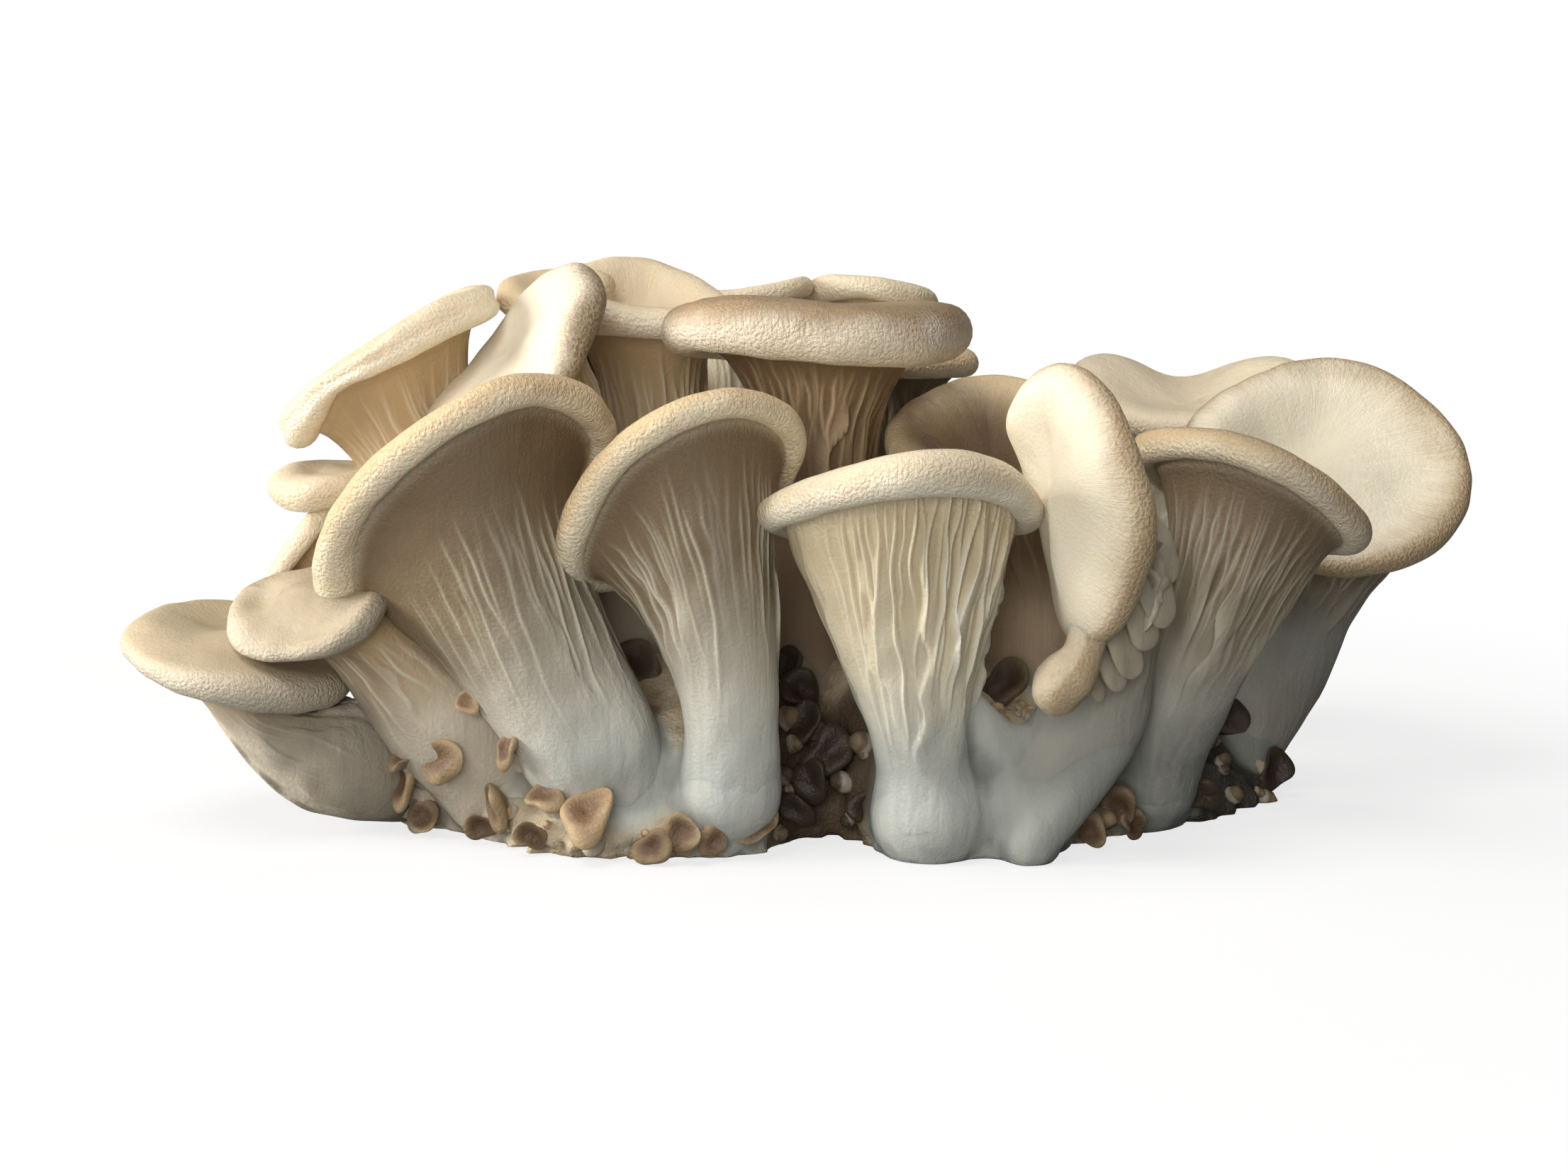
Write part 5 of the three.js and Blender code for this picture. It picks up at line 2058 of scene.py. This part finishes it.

# the pins by where they grow: the middle of the cap, the way it faces, its radius, the length of
# the stem, and how dark it is: painted shade in the gap, behind and on the right, its own tone elsewhere
PIN_GROUPS = {
    "left": [
        ((-71.5, -52, 16.5), (-0.4, -0.7, 0.6), 2.8, 8, 0.5),
        ((-72, -47, 10), (-0.7, -0.6, 0.4), 4, 8, 0.35),
        ((-63.5, -57.5, 17), (-0.8, -0.6, 0.2), 4.4, 9, 0.25),
        ((-51, -63, 20), (-0.4, -0.7, 0.6), 2.7, 7, 0.35), ((-54, -56, 8), (-0.9, -0.4, 0.1), 4.2, 8, 0.45),
        ((-44, -63, 11.5), (-0.4, -0.5, 0.8), 3.4, 7, 0.3), ((-36, -68, 9), (-0.1, -0.5, 0.9), 5, 8, 0.15),
        ((-57, -53, 3.5), (-0.3, -0.9, 0), 2.7, 6, 0.55),
        ((-69, -45, 3.5), (-0.2, -0.9, 0.3), 3.2, 6, 0.45), ((-47, -63, 4), (0.2, -0.9, 0.2), 2.8, 6, 0.5),
        ((-58.5, -60, 28.5), (-0.3, -0.8, 0.5), 2.2, 5, 0.1),
    ],
    "centre": [
        ((-24, -69, 3.5), (-0.1, -1, 0), 3, 6, 0.35), ((-19, -69, 6), (0.1, -1, 0.1), 3.4, 7, 0.35),
        ((-13, -67, 4), (0.2, -1, 0), 2.6, 5, 0.35), ((-5, -63, 6.5), (0.3, -0.8, 0.4), 3.8, 7, 0.35),
    ],
    "gap": [
        ((2, -54, 7), (-0.2, -1, 0.1), 3.2, 6, 0.95), ((5, -51, 12), (-0.3, -0.9, 0.3), 3.6, 8, 0.95),
        ((8, -49, 17), (0.3, -0.9, 0.2), 4.2, 9, 0.95), ((4, -45, 22), (-0.3, -0.8, 0.4), 3.6, 9, 0.95),
        ((3, -42, 27.5), (0.4, -0.8, 0.4), 3.6, 9, 0.95), ((1, -37, 32), (-0.5, -0.8, 0.3), 3.2, 9, 0.95),
        ((15, -53, 7), (0.3, -0.9, 0.1), 3, 7, 0.95),
    ],
    "right": [
        ((63, -51, 7), (0, -1, 0.1), 3.4, 8, 0.55), ((57, -58, 4), (-0.2, -0.9, 0), 3, 6, 0.5),
        ((66, -50, 3.5), (0.3, -0.9, 0), 2.6, 7, 0.6), ((88, -24, 19), (0.1, -0.9, 0.2), 3.6, 18, 0.95),
        ((99, -11, 6), (0.6, -0.8, 0.2), 3.8, 8, 0.95), ((81, -37, 6), (0.2, -0.9, 0.2), 3, 7, 0.9),
    ],
    "behind": [
        ((42, -37, 28), (0, -0.8, 0.5), 4.6, 8, 0.8), ((-28, -35, 32), (0, -0.8, 0.5), 4.2, 9, 0.8),
    ],
    "back": [
        ((-74, 27, 9), (-0.6, 0.7, 0.3), 3.6, 9), ((-34, 52, 8), (-0.1, 0.9, 0.3), 3.2, 8),
        ((22, 57, 7), (0, 1, 0.2), 3.8, 8), ((86, 35, 8), (0.6, 0.7, 0.3), 3.4, 9),
        ((-86, -4, 6), (-1, 0.1, 0.3), 3, 8),
    ],
}
PINS = [
    Pin(f"{group}_{number}", *rest)
    for group, rows in PIN_GROUPS.items() for number, rest in enumerate(rows, 1)
]

BASE_OUTLINE = [
    (104, 2, 8), (98, 20, 9), (76, 36, 12), (44, 48, 14), (8, 54, 15), (-30, 48, 15),
    (-60, 36, 14), (-78, 14, 12), (-82, -14, 12), (-76, -34, 12), (-62, -44, 14), (-46, -62, 10),
    (-26, -66, 8), (-8, -63, 7), (2, -51, 10), (12, -49, 10), (20, -62, 14), (37, -65, 8),
    (52, -61, 10), (62, -48, 10), (78, -38, 7), (96, -16, 6),
]
BASE_CENTRE = (6.0, -10.0)
BASE_HEIGHT = 36.0
# webs of flesh between feet: two ends and a radius
WEBS = [
    ((29, -59, 31), (40, -58, 20), 4.5), ((30, -57, 16), (55, -56, 22), 4.5),
    ((60, -58, 20), (45, -66, 3), 5.5),
]


def write_sizes() -> None:
    """Lists the frame's box and the dressed cluster's box side by side, and does nothing more with them."""
    boxes = [[list(corner) for corner in box] for box in (CAD_BOX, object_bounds())]


def main() -> None:
    """Builds and dresses every piece, then the room."""
    logging.basicConfig(level=logging.INFO, format="%(message)s")
    effects = Effects()
    finishes = {skin: flesh.material(effects) for skin, flesh in FLESHES.items()}
    base = CutBase(BASE_OUTLINE, BASE_CENTRE, BASE_HEIGHT, FRUIT_BODIES, WEBS)
    mound = base.build()
    base.dress(mound, Mycelium().material(effects))
    for seed, body in enumerate(FRUIT_BODIES, 1):
        body.dress(body.build(seed), finishes)
    brown = PinFlesh().material(effects)
    for pin in PINS:
        pin.dress(pin.build(), brown)
    nubs = Nubs()
    nubs.dress(nubs.build(mound), brown)
    Studio().build()
    write_sizes()


if __name__ == "__main__":
    main()
